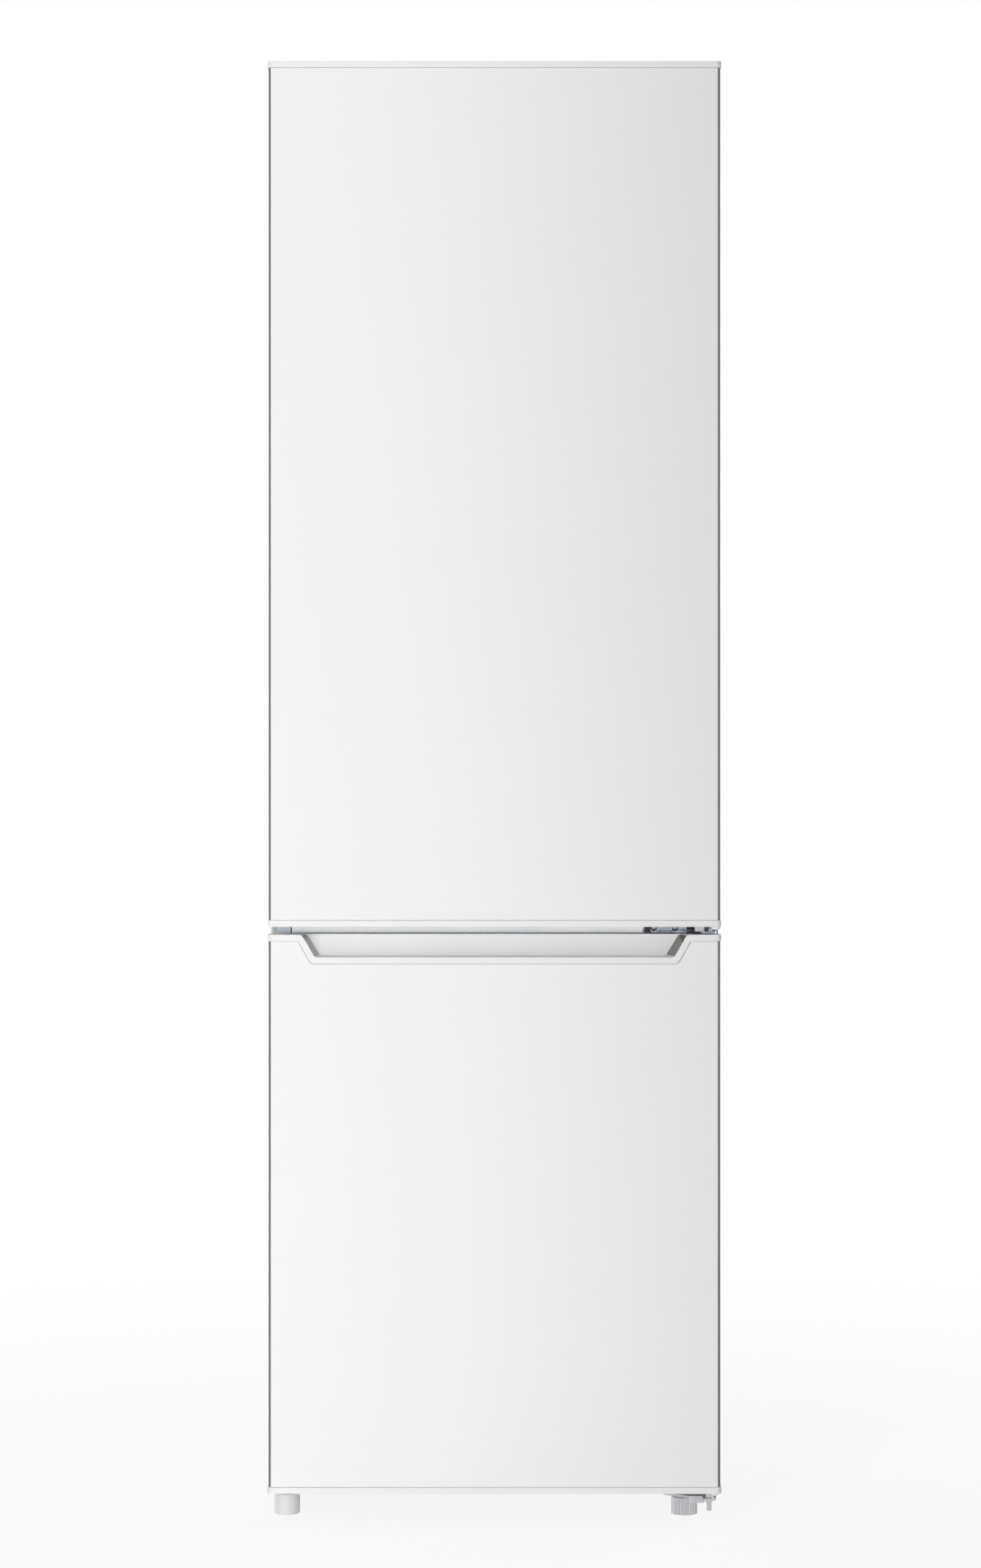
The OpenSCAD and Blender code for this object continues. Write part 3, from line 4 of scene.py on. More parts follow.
import bmesh
import bpy
import numpy as np
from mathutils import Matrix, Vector


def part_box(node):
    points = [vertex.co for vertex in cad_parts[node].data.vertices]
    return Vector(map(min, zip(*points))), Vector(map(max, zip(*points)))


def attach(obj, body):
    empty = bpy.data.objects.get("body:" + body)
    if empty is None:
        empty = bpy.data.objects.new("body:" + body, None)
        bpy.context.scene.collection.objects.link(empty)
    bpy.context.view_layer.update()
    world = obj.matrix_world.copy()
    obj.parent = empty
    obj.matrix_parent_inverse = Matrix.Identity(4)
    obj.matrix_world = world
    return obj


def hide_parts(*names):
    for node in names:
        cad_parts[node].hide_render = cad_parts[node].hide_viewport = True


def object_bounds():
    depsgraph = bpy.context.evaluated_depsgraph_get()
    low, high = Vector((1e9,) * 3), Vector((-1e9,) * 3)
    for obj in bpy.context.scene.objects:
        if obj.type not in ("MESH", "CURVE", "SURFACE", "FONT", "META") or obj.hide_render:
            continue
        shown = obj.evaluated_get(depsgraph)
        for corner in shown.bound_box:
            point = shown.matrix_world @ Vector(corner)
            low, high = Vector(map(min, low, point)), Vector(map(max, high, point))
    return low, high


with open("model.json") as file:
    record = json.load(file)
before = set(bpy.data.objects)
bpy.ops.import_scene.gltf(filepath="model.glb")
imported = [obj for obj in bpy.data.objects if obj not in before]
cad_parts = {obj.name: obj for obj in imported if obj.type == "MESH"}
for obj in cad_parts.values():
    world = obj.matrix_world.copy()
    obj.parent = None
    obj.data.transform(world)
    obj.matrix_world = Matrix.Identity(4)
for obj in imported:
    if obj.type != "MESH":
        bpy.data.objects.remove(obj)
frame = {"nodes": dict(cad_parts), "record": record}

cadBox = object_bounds()
record = frame["record"]
nodeBody = {n: body for body, members in record["behaviour"]["bodies"].items() for n in members}
mm = 0.001
print("stage: frame loaded,", len(nodeBody), "nodes")


# Camera

photo = {
    "width": 1200, "height": 1919,   # size of the picture in pixels
    "metresPerPixel": 0.0009847,     # at the front of the doors
    "middleColumn": 604.75,          # column of the object's middle
    "topRow": 74.6,                  # row of the fridge door's top edge
    "distance": 4.5,                 # from the camera to the front of the doors
}


def placeCamera(s):
    # The picture's height at the doors, over the distance, gives the lens for a 36 mm high film
    low, high = cadBox
    data = bpy.data.cameras.new("studioCamera")
    data.sensor_fit = "VERTICAL"
    data.sensor_height = 36
    data.lens = 36 * s["distance"] / (s["height"] * s["metresPerPixel"])
    data.clip_end = 60
    camera = bpy.data.objects.new("studioCamera", data)
    side = (s["width"] / 2 - s["middleColumn"]) * s["metresPerPixel"]
    eye = high[2] - (s["height"] / 2 - s["topRow"]) * s["metresPerPixel"]
    camera.location = (side, low[1] - s["distance"], eye)
    camera.rotation_euler = (math.pi / 2, 0, 0)
    bpy.context.scene.collection.objects.link(camera)
    bpy.context.scene.camera = camera


placeCamera(photo)


# Shader groups that several finishes share

def addNode(tree, kind, inputs=None, **settings):
    # An input that is given another node's socket is linked to it, and any other is set
    node = tree.nodes.new(kind)
    for key, value in settings.items():
        setattr(node, key, value)
    for key, value in (inputs or {}).items():
        if isinstance(value, bpy.types.NodeSocket):
            tree.links.new(value, node.inputs[key])
        else:
            node.inputs[key].default_value = value
    return node


def makeGroup(name, effect, inputs):
    # A group with a coordinate and the labelled numbers, whose output is what the effect gives
    tree = bpy.data.node_groups.new(name, "ShaderNodeTree")
    tree.interface.new_socket("Coordinate", in_out="INPUT", socket_type="NodeSocketVector")
    for label, value in inputs.items():
        socket = tree.interface.new_socket(label, in_out="INPUT", socket_type="NodeSocketFloat")
        socket.default_value = value
    tree.interface.new_socket("Value", in_out="OUTPUT", socket_type="NodeSocketFloat")
    given, out = tree.nodes.new("NodeGroupInput"), tree.nodes.new("NodeGroupOutput")
    tree.links.new(effect(tree, given.outputs), out.inputs["Value"])
    return tree


def math2(tree, operation, a, b, clamp=False):
    # One sum of two numbers or sockets
    return addNode(tree, "ShaderNodeMath", {0: a, 1: b}, operation=operation,
                   use_clamp=clamp).outputs[0]


def noiseOn(tree, place, scale, detail, **more):
    # Fractal noise at a place, from 0 to 1
    inputs = {"Vector": place, "Scale": scale, "Detail": detail, **more}
    return addNode(tree, "ShaderNodeTexNoise", inputs).outputs["Fac"]


def remapped(tree, value, low, high, **more):
    # The value's range from low to high becomes 0 to 1, or the limits that are given
    inputs = {"Value": value, "From Min": low, "From Max": high,
              **{label.replace("_", " "): limit for label, limit in more.items()}}
    return addNode(tree, "ShaderNodeMapRange", inputs).outputs["Result"]


def grain(tree, given):
    # Fine noise plus a share of coarse noise
    fine = noiseOn(tree, given["Coordinate"], given["Fine"], 2.0, Roughness=0.55)
    coarse = noiseOn(tree, given["Coordinate"], given["Coarse"], 3.0)
    return math2(tree, "ADD", fine, math2(tree, "MULTIPLY", coarse, given["Coarse Share"]))


def mottle(tree, given):
    # Slow noise, stretched about its middle by the contrast
    noise = noiseOn(tree, given["Coordinate"], given["Scale"], 4.0, Distortion=0.4)
    spread = math2(tree, "MULTIPLY", math2(tree, "SUBTRACT", noise, 0.5), given["Contrast"])
    return math2(tree, "ADD", spread, 0.5, clamp=True)


def edgeWear(tree, given):
    # 1 where the surface is convex, broken up by noise
    geometry = addNode(tree, "ShaderNodeNewGeometry")
    edge = remapped(tree, geometry.outputs["Pointiness"], 0.52, 0.6)
    noise = noiseOn(tree, given["Coordinate"], given["Patch"], 5.0)
    both = math2(tree, "MULTIPLY", edge, remapped(tree, noise, 0.42, 0.62))
    return math2(tree, "MULTIPLY", both, given["Amount"], clamp=True)


def dust(tree, given):
    # The upward share of the normal times noise
    geometry = addNode(tree, "ShaderNodeNewGeometry")
    split = addNode(tree, "ShaderNodeSeparateXYZ", {"Vector": geometry.outputs["Normal"]})
    noise = noiseOn(tree, given["Coordinate"], 24.0, 6.0)
    both = math2(tree, "MULTIPLY", remapped(tree, split.outputs["Z"], 0.2, 1.0), noise)
    return math2(tree, "MULTIPLY", both, given["Amount"], clamp=True)


def streaks(tree, given):
    # Noise on coordinates squeezed along one axis, as on rolled or brushed metal
    split = addNode(tree, "ShaderNodeSeparateXYZ", {"Vector": given["Coordinate"]})
    x = math2(tree, "MULTIPLY", split.outputs["X"], given["Along X"])
    z = math2(tree, "MULTIPLY", split.outputs["Z"], given["Along Z"])
    joined = addNode(tree, "ShaderNodeCombineXYZ", {"X": x, "Y": split.outputs["Y"], "Z": z})
    return noiseOn(tree, joined.outputs["Vector"], given["Scale"], 5.0, Roughness=0.65)


def cells(tree, given):
    # The distance to the nearest cell point: foam bubbles or zinc crystals
    inputs = {"Vector": given["Coordinate"], "Scale": given["Scale"]}
    return addNode(tree, "ShaderNodeTexVoronoi", inputs).outputs["Distance"]


groups = {
    "grain": makeGroup("surfaceGrain", grain,
                       {"Fine": 900.0, "Coarse": 60.0, "Coarse Share": 0.4}),
    "mottle": makeGroup("mottle", mottle, {"Scale": 6.0, "Contrast": 1.6}),
    "wear": makeGroup("edgeWear", edgeWear, {"Amount": 0.3, "Patch": 90.0}),
    "dust": makeGroup("dust", dust, {"Amount": 0.2}),
    "streaks": makeGroup("rolledStreaks", streaks,
                         {"Scale": 40.0, "Along X": 0.05, "Along Z": 1.0}),
    "cells": makeGroup("cells", cells, {"Scale": 300.0}),
}
print("stage: shader groups built")


# Finishes

plainFinish = {
    "roughnessDrift": 0.06, "metallic": 0.0, "specular": 0.5,
    "fine": 900.0, "coarse": 60.0, "coarseShare": 0.4, "bump": 0.05, "depth": 0.2,
    "mottle": 6.0, "contrast": 1.3,
    "wear": 0.0, "wearColour": (0.5, 0.5, 0.5), "dust": 0.0, "dustColour": (0.45, 0.43, 0.4),
    "streaks": 0.0, "streakScale": 40.0, "cells": 0.0, "cellScale": 300.0,
    "coat": 0.0, "coatRoughness": 0.2, "transmission": 0.0, "ior": 1.5, "sheen": 0.0,
    "subsurface": 0.0,
}


def tones(colour, second, roughness, **rest):
    # The plain finish with a colour, a second one that it drifts to, and what else differs
    return {**plainFinish, "colour": colour, "second": second, "roughness": roughness, **rest}


finishSettings = {
    # satin white paint on the doors, with the faint orange peel of pre-painted sheet
    "doorPaint": tones((0.87, 0.87, 0.872), (0.86, 0.86, 0.864), 0.45, roughnessDrift=0.03,
        specular=0.2, fine=420.0, coarse=90.0, bump=0.02, depth=0.12, mottle=3.0),
    "cabinetPaint": tones((0.85, 0.85, 0.85), (0.82, 0.82, 0.825), 0.45, fine=520.0, coarse=110.0,
        bump=0.05, dust=0.12),
    "sheetGrey": tones((0.55, 0.56, 0.57), (0.47, 0.48, 0.49), 0.5, metallic=0.35, streaks=0.35,
        cells=0.35, cellScale=70.0, bump=0.08, wear=0.2, dust=0.25),
    "zincPlate": tones((0.62, 0.66, 0.7), (0.46, 0.52, 0.6), 0.24, roughnessDrift=0.1,
        metallic=1.0, streaks=0.45, streakScale=70.0, cells=0.2, cellScale=120.0, bump=0.1,
        wear=0.35, wearColour=(0.78, 0.8, 0.82)),
    "screwSteel": tones((0.6, 0.62, 0.64), (0.48, 0.5, 0.53), 0.28, metallic=1.0, streaks=0.2,
        bump=0.1, wear=0.4, wearColour=(0.8, 0.8, 0.82)),
    "railEnamel": tones((0.82, 0.84, 0.85), (0.78, 0.805, 0.82), 0.16, metallic=0.85, bump=0.04,
        mottle=14.0),
    "foam": tones((0.86, 0.77, 0.5), (0.78, 0.68, 0.4), 0.9, cells=0.9, cellScale=700.0, bump=0.5,
        depth=1.0, specular=0.2),
    "linerWhite": tones((0.86, 0.875, 0.88), (0.84, 0.86, 0.87), 0.3, roughnessDrift=0.02,
        contrast=0.8, fine=260.0, coarse=30.0, coarseShare=1.2, bump=0.05, depth=0.3,
        subsurface=0.05),
    "trimWhite": tones((0.85, 0.85, 0.855), (0.83, 0.83, 0.84), 0.34, specular=0.4, fine=1400.0,
        bump=0.05),
    "footWhite": tones((0.93, 0.935, 0.955), (0.9, 0.905, 0.93), 0.42, fine=1200.0, bump=0.1,
        wear=0.15, wearColour=(0.7, 0.7, 0.7), coat=0.4),
    # painted shade along each door's rounded fold, a dark grey line where the light falls off
    "doorFold": tones((0.2, 0.2, 0.205), (0.17, 0.17, 0.175), 0.5, specular=0.25, fine=420.0,
        bump=0.03),
    # painted shade on the scoop's left end
    "scoopEnd": tones((0.36, 0.345, 0.33), (0.3, 0.285, 0.27), 0.25, bump=0.05),
    # a painted dark reflection on the scoop's right end
    "scoopFarEndPaintedReflection": tones((0.16, 0.148, 0.12), (0.12, 0.11, 0.09), 0.25, bump=0.05),
    # painted shade on the scoop's floor
    "scoopFloor": tones((0.6, 0.6, 0.6), (0.57, 0.57, 0.57), 0.4, bump=0.05),
    # painted light on the scoop's back wall, lighter than the trim so that it does not fall into
    # shade
    "scoopBack": tones((0.96, 0.96, 0.965), (0.94, 0.94, 0.95), 0.34, fine=1400.0, bump=0.05),
    # painted shade in the grooves between the right foot's ribs
    "footGroove": tones((0.26, 0.26, 0.3), (0.2, 0.2, 0.24), 0.5, bump=0.08),
    # blue chromate on the hinge between the doors, with near-black clouds that are painted dark
    # reflections
    "blueZinc": tones((0.42, 0.47, 0.55), (0.09, 0.105, 0.14), 0.2, metallic=1.0, mottle=200.0,
        contrast=3.2, streaks=0.3, streakScale=160.0, bump=0.12, wear=0.3,
        wearColour=(0.75, 0.77, 0.8)),
    "hingeGrey": tones((0.6, 0.59, 0.62), (0.48, 0.47, 0.5), 0.3, metallic=1.0, mottle=40.0,
        streaks=0.4, streakScale=90.0, bump=0.1, wear=0.3, wearColour=(0.8, 0.8, 0.82)),
    "sealVinyl": tones((0.8, 0.8, 0.79), (0.74, 0.74, 0.73), 0.55, fine=1500.0, bump=0.12,
        sheen=0.1),
    "sealTape": tones((0.42, 0.42, 0.43), (0.36, 0.36, 0.37), 0.7, bump=0.1),
    "blackEnamel": tones((0.02, 0.02, 0.022), (0.035, 0.034, 0.033), 0.38, roughnessDrift=0.12,
        fine=700.0, bump=0.14, wear=0.3, wearColour=(0.1, 0.09, 0.085), dust=0.35),
    "blackRubber": tones((0.022, 0.022, 0.023), (0.04, 0.04, 0.04), 0.75, fine=1600.0, bump=0.25,
        dust=0.3),
    "blackPlastic": tones((0.025, 0.025, 0.027), (0.045, 0.045, 0.047), 0.5, fine=1300.0,
        bump=0.2, wear=0.25, wearColour=(0.09, 0.09, 0.09), dust=0.25),
    "rollerNylon": tones((0.06, 0.06, 0.065), (0.1, 0.1, 0.1), 0.55, fine=1100.0, bump=0.15,
        wear=0.5, wearColour=(0.2, 0.19, 0.18)),
    "copperTube": tones((0.8, 0.42, 0.26), (0.5, 0.24, 0.14), 0.3, roughnessDrift=0.14,
        metallic=1.0, streaks=0.3, mottle=30.0, bump=0.1, wear=0.2, wearColour=(0.9, 0.6, 0.45)),
    "millAluminium": tones((0.78, 0.79, 0.8), (0.68, 0.69, 0.71), 0.35, metallic=1.0, streaks=0.5,
        bump=0.12),
    "coatedTube": tones((0.84, 0.86, 0.88), (0.78, 0.81, 0.84), 0.32, fine=500.0, bump=0.1,
        mottle=25.0),
    "bulbGlass": tones((1.0, 0.97, 0.9), (0.97, 0.93, 0.85), 0.04, roughnessDrift=0.02,
        transmission=0.92, bump=0.01),
    "lensPlastic": tones((0.93, 0.92, 0.86), (0.9, 0.88, 0.8), 0.28, transmission=0.45, bump=0.05,
        ior=1.49),
    "shelfGlass": tones((0.93, 0.98, 0.965), (0.92, 0.97, 0.955), 0.015, roughnessDrift=0.01,
        transmission=1.0, ior=1.52, bump=0.003),
    "glassEdge": tones((0.3, 0.62, 0.52), (0.22, 0.52, 0.43), 0.12, transmission=0.55, ior=1.52,
        bump=0.05, fine=300.0),
    "clearPlastic": tones((0.945, 0.972, 0.985), (0.935, 0.965, 0.98), 0.06, roughnessDrift=0.04,
        transmission=0.93, fine=120.0, coarse=14.0, bump=0.02, depth=0.3),
    "dialGrey": tones((0.6, 0.62, 0.65), (0.56, 0.58, 0.61), 0.38, fine=1400.0, bump=0.06),
    "dialInk": tones((0.05, 0.09, 0.16), (0.07, 0.11, 0.18), 0.4, bump=0.02),
}


def makeFinish(name, s):
    # The colour drifts between two tones with slow noise, then takes wear on its edges and
    # dust on its upper faces; roughness follows the same masks, and grain lifts the bump
    material = bpy.data.materials.new(name)
    material.use_nodes = True
    tree = material.node_tree
    shader = tree.nodes["Principled BSDF"]
    place = addNode(tree, "ShaderNodeTexCoord").outputs["Object"]

    def use(key, **inputs):
        node = addNode(tree, "ShaderNodeGroup", node_tree=groups[key])
        tree.links.new(place, node.inputs["Coordinate"])
        for label, value in inputs.items():
            node.inputs[label.replace("_", " ")].default_value = value
        return node.outputs[0]

    def mixColour(factor, first, second):
        node = addNode(tree, "ShaderNodeMix", data_type="RGBA")
        for socket, value in ((node.inputs[0], factor), (node.inputs[6], first),
                              (node.inputs[7], second)):
            if isinstance(value, bpy.types.NodeSocket):
                tree.links.new(value, socket)
            else:
                socket.default_value = value
        return node.outputs[2]

    drift = use("mottle", Scale=s["mottle"], Contrast=s["contrast"])
    if s["streaks"]:
        part = math2(tree, "MULTIPLY", use("streaks", Scale=s["streakScale"]), s["streaks"])
        drift = math2(tree, "ADD", math2(tree, "MULTIPLY", drift, 1 - s["streaks"]), part)
    colour = mixColour(drift, (*s["colour"], 1), (*s["second"], 1))
    rough = remapped(tree, drift, 0.0, 1.0, To_Min=s["roughness"] - s["roughnessDrift"],
                     To_Max=s["roughness"] + s["roughnessDrift"])
    for key, gain in (("wear", -0.1), ("dust", 0.5)):
        if s[key]:
            mask = use(key, Amount=s[key])
            colour = mixColour(mask, colour, (*s[key + "Colour"], 1))
            rough = math2(tree, "ADD", rough, math2(tree, "MULTIPLY", mask, gain), clamp=True)
    height = use("grain", Fine=s["fine"], Coarse=s["coarse"], Coarse_Share=s["coarseShare"])
    if s["cells"]:
        pitted = math2(tree, "MULTIPLY", use("cells", Scale=s["cellScale"]), s["cells"])
        height = math2(tree, "ADD", height, pitted)
    bump = addNode(tree, "ShaderNodeBump", {"Height": height, "Strength": s["bump"],
                                            "Distance": s["depth"] * mm})
    tree.links.new(colour, shader.inputs["Base Color"])
    tree.links.new(rough, shader.inputs["Roughness"])
    tree.links.new(bump.outputs["Normal"], shader.inputs["Normal"])
    fixed = {"Metallic": "metallic", "Specular IOR Level": "specular", "Coat Weight": "coat",
             "Coat Roughness": "coatRoughness", "Transmission Weight": "transmission",
             "IOR": "ior", "Sheen Weight": "sheen", "Subsurface Weight": "subsurface"}
    for socket, key in fixed.items():
        shader.inputs[socket].default_value = s[key]
    shader.inputs["Subsurface Scale"].default_value = 2 * mm
    return material


finishes = {name: makeFinish(name, s) for name, s in finishSettings.items()}
print("stage:", len(finishes), "finishes built")


# Making and placing pieces

meshSettings = {
    "merge": 0.004, "sliver": 0.002,   # points nearer than this are one, in millimetres
    "flat": 0.4,                       # faces this near to one plane are joined, in degrees
    "edge": 38, "tubeEdge": 60,        # a steeper edge stays sharp on a node's own form
    "bevelFrom": 40, "bevelSteps": 3,  # a steeper edge is rounded
}


def pieceName(node):
    words = node.split("_")
    return words[0] + "".join(w.capitalize() for w in words[1:])


def addPiece(name, shells, finish, node, smoothAngle=35, bevel=0.0, replace=True):
    # Joins closed shells, each a pair of points and faces, into one piece that rides with a node
    points = np.concatenate([p for p, f in shells])
    starts = np.cumsum([0] + [len(p) for p, f in shells])
    faces = [[int(k) + int(start) for k in face] for (p, f), start in zip(shells, starts)
             for face in f]
    mesh = bpy.data.meshes.new(name)
    mesh.from_pydata(points.tolist(), [], faces)
    return finishPiece(name, mesh, finish, node, smoothAngle, bevel, replace)


def finishPiece(name, mesh, finish, node, smoothAngle, bevel, replace):
    # Doubles are merged, faces turned outwards, edges past the angle kept sharp or rounded
    s = meshSettings
    work = bmesh.new()
    work.from_mesh(mesh)
    bmesh.ops.remove_doubles(work, verts=work.verts, dist=s["merge"] * mm)
    bmesh.ops.dissolve_degenerate(work, edges=work.edges, dist=s["sliver"] * mm)
    bmesh.ops.recalc_face_normals(work, faces=work.faces)
    work.to_mesh(mesh)
    work.free()
    mesh.shade_smooth()
    mesh.set_sharp_from_angle(angle=math.radians(smoothAngle))
    mesh.materials.clear()
    mesh.materials.append(finishes[finish])
    piece = bpy.data.objects.new(name, mesh)
    bpy.context.scene.collection.objects.link(piece)
    if bevel:
        edge = piece.modifiers.new("edge", "BEVEL")
        edge.width = bevel * mm
        edge.segments = s["bevelSteps"]
        edge.limit_method = "ANGLE"
        edge.angle_limit = math.radians(s["bevelFrom"])
        edge.harden_normals = False
    even = piece.modifiers.new("even", "WEIGHTED_NORMAL")
    even.keep_sharp = True
    even.weight = 100
    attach(piece, nodeBody[node])
    if replace:
        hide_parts(node)
    return piece


def dressNode(node, finish, bevel=0.0, shift=None, rounds=0):
    # A merged copy of the node's own mesh, with its flat faces joined and its edges rounded
    s = meshSettings
    mesh = frame["nodes"][node].data.copy()
    work = bmesh.new()
    work.from_mesh(mesh)
    bmesh.ops.remove_doubles(work, verts=work.verts, dist=s["merge"] * mm)
    bmesh.ops.dissolve_limit(work, angle_limit=math.radians(s["flat"]), verts=work.verts,
                             edges=work.edges)
    work.to_mesh(mesh)
    work.free()
    if shift:
        points = np.empty(len(mesh.vertices) * 3, dtype=np.float32)
        mesh.vertices.foreach_get("co", points)
        mesh.vertices.foreach_set("co", shift(points.reshape(-1, 3)).astype(np.float32).ravel())
    piece = finishPiece(pieceName(node), mesh, finish, node, s["tubeEdge" if rounds else "edge"],
                        bevel, True)
    if rounds:
        # A tube is rounded between its ends, whose sharp edges stay
        sharp = np.empty(len(mesh.edges), dtype=bool)
        mesh.attributes["sharp_edge"].data.foreach_get("value", sharp)
        crease = mesh.attributes.new("crease_edge", "FLOAT", "EDGE")
        crease.data.foreach_set("value", sharp.astype(np.float32))
        smooth = piece.modifiers.new("round", "SUBSURF")
        smooth.levels = smooth.render_levels = rounds
    return piece


jointSettings = {  # all in millimetres
    "near": 0.1,             # points this near to a face belong to it
    "skinEnds": 0.5,         # the sheet stops this far short of the trims
    "notchSides": 0.5, "notchFoot": 0.4, "notchHalf": 262.0, "notchDeep": 60.0,
    "notchTop": 3.0, "notchFront": -250.0,
    "foamFront": -272.5, "foamBack": 1.2,    # the foam sinks behind the tape of the scoop's joint
    "scoopBack": -252.0, "scoopHalf": 245.0, "scoopFloor": 684.0, "scoopDeep": 27.5,
    "drawLeft": 5.0, "drawRight": 8.5, "floorRise": 1.2, "floorFrom": 24.0,
}


def openSkinEnds(points):
    # The top and bottom edges of the sheet draw in, which leaves the joint's dark line
    s = jointSettings
    low, high = points[:, 2].min(), points[:, 2].max()
    moved = points.copy()
    moved[:, 2] += ((points[:, 2] < low + s["near"] * mm).astype(float)
                    - (points[:, 2] > high - s["near"] * mm)) * s["skinEnds"] * mm
    return moved


def openScoopSkin(points):
    # The notch for the scoop's band grows by the joint's width, at its sides and its foot
    s = jointSettings
    moved = openSkinEnds(points)
    top = points[:, 2].max()
    notch = (points[:, 1] < s["notchFront"] * mm) & (points[:, 2] > top - s["notchDeep"] * mm)
    notch &= np.abs(points[:, 0]) < s["notchHalf"] * mm
    moved[:, 0] += notch * np.sign(points[:, 0]) * s["notchSides"] * mm
    moved[:, 2] -= (notch & (points[:, 2] < top - s["notchTop"] * mm)) * s["notchFoot"] * mm
    return moved


def sinkFoam(points):
    # The foam's front face goes back
    moved = points.copy()
    moved[:, 1] += (points[:, 1] < jointSettings["foamFront"] * mm) * jointSettings["foamBack"] * mm
    return moved


def draftScoop(points):
    # The ends and floor of the scoop draw in towards its back wall, the right end the most
    s = jointSettings
    top = points[:, 2].max()
    back = np.abs(points[:, 1] - s["scoopBack"] * mm) < 2 * s["near"] * mm
    back &= (points[:, 2] > top - s["scoopDeep"] * mm) & (np.abs(points[:, 0]) < s["scoopHalf"] * mm)
    moved = points.copy()
    moved[:, 0] += back * np.where(points[:, 0] < 0, s["drawLeft"], -s["drawRight"]) * mm
    moved[:, 2] += (back & (points[:, 2] < top - s["floorFrom"] * mm)) * s["floorRise"] * mm
    return moved


dressing = {  # finish, edge radius in millimetres, and what else is done to the node's own form
    "outer_shell": ("cabinetPaint", 0.3), "back_panel": ("sheetGrey",),
    "base_frame": ("sheetGrey",), "fridge_liner": ("linerWhite", 0.6),
    "freezer_liner": ("linerWhite", 0.6), "middle_rail": ("railEnamel", 0.2),
    "top_hinge": ("zincPlate", 0.4), "top_hinge_cover": ("trimWhite", 0.8),
    "middle_hinge": ("blueZinc", 0.4), "hinge_blanking_plate": ("zincPlate", 0.4),
    "bottom_hinge": ("hingeGrey", 0.4), "compressor_mounts": ("blackRubber", 0.4),
    "terminal_box": ("blackPlastic", 1.0), "condenser_coil": ("blackEnamel", 0, None, 1),
    "condenser_brackets": ("blackPlastic", 0.8), "filter_drier": ("copperTube",),
    "refrigerant_pipes": ("copperTube", 0, None, 1), "fridge_evaporator": ("millAluminium", 0.3),
    "freezer_evaporator": ("coatedTube", 0, None, 1), "drain_tube": ("trimWhite", 0.2),
    "power_inlet": ("blackPlastic", 1.0), "control_housing": ("trimWhite", 1.2),
    "shelf_trims": ("trimWhite", 0.5), "fridge_door_skin": ("doorPaint", 0, openSkinEnds),
    "freezer_door_skin": ("doorPaint", 0, openScoopSkin),
    "freezer_door_foam": ("foam", 0, sinkFoam), "fridge_door_top_trim": ("trimWhite", 1.4),
    "fridge_door_bottom_trim": ("trimWhite", 1.4),
    "freezer_door_top_trim": ("trimWhite", 0.8, draftScoop),
    "freezer_door_bottom_trim": ("trimWhite", 1.4), "fridge_door_bushes": ("trimWhite", 0.3),
    "freezer_door_bushes": ("trimWhite", 0.3), "left_foot": ("footWhite",),
    "right_foot": ("footWhite", 0.25), "rear_rollers": ("rollerNylon", 1.0),
}
dressed = {node: dressNode(node, *how) for node, how in dressing.items()}


def facesTake(piece, finish, chosen):
    # Faces that are chosen by their normal and middle take one more finish
    mesh = piece.data
    mesh.materials.append(finishes[finish])
    normals, middles = np.empty((2, len(mesh.polygons) * 3))
    slots = np.empty(len(mesh.polygons), dtype=np.int32)
    mesh.polygons.foreach_get("normal", normals)
    mesh.polygons.foreach_get("center", middles)
    mesh.polygons.foreach_get("material_index", slots)
    slots[chosen(normals.reshape(-1, 3), middles.reshape(-1, 3))] = len(mesh.materials) - 1
    mesh.polygons.foreach_set("material_index", slots)


faceSettings = {  # in millimetres, and as shares of a normal's length
    "behind": 1.5, "endMargin": 5.0, "floorMargin": -10.0, "floorHigh": 6.0, "backNear": 1.0,
    "facing": 0.7, "leaning": 0.5, "upright": 0.3, "foldMiddle": 0.72, "foldReach": 0.27,
    "grooves": (14.0, 15.2),   # from the foot's axis
}


def inScoop(m, margin=0.0):
    # In front of the scoop's back wall, and between its ends with a margin
    return ((m[:, 1] < (jointSettings["scoopBack"] + faceSettings["behind"]) * mm)
            & (np.abs(m[:, 0]) < (jointSettings["scoopHalf"] + margin) * mm))


def scoopEnds(side):
    # Faces above the scoop's floor that look towards its middle, on one side
    s = faceSettings
    return lambda n, m: (inScoop(m, s["endMargin"]) & (n[:, 0] * side < -s["leaning"])
                         & (m[:, 0] * side > 0) & (m[:, 2] > jointSettings["scoopFloor"] * mm))


def scoopFloor(n, m):
    # Faces low in the scoop that look up
    s = faceSettings
    return (inScoop(m, s["floorMargin"]) & (n[:, 2] > s["facing"])
            & (m[:, 2] < (jointSettings["scoopFloor"] + s["floorHigh"]) * mm))


def scoopBack(n, m):
    # Faces on the back wall's plane that look forward
    s = faceSettings
    return (inScoop(m) & (n[:, 1] < -s["facing"])
            & (m[:, 1] > (jointSettings["scoopBack"] - s["backNear"]) * mm)
            & (m[:, 2] > jointSettings["scoopFloor"] * mm))


def footGrooves(n, m):
    # Upright faces between the ribs of the right foot, by their distance from its axis
    low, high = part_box("right_foot")
    axis = (np.array(low) + np.array(high)) / 2
    away = np.hypot(m[:, 0] - axis[0], m[:, 1] - axis[1])
    near, far = faceSettings["grooves"]
    return (np.abs(n[:, 2]) < faceSettings["upright"]) & (away > near * mm) & (away < far * mm)


def foldFaces(n, m):
    # Faces of the rounded fold, which look between forwards and sideways
    return np.abs(np.abs(n[:, 0]) - faceSettings["foldMiddle"]) < faceSettings["foldReach"]


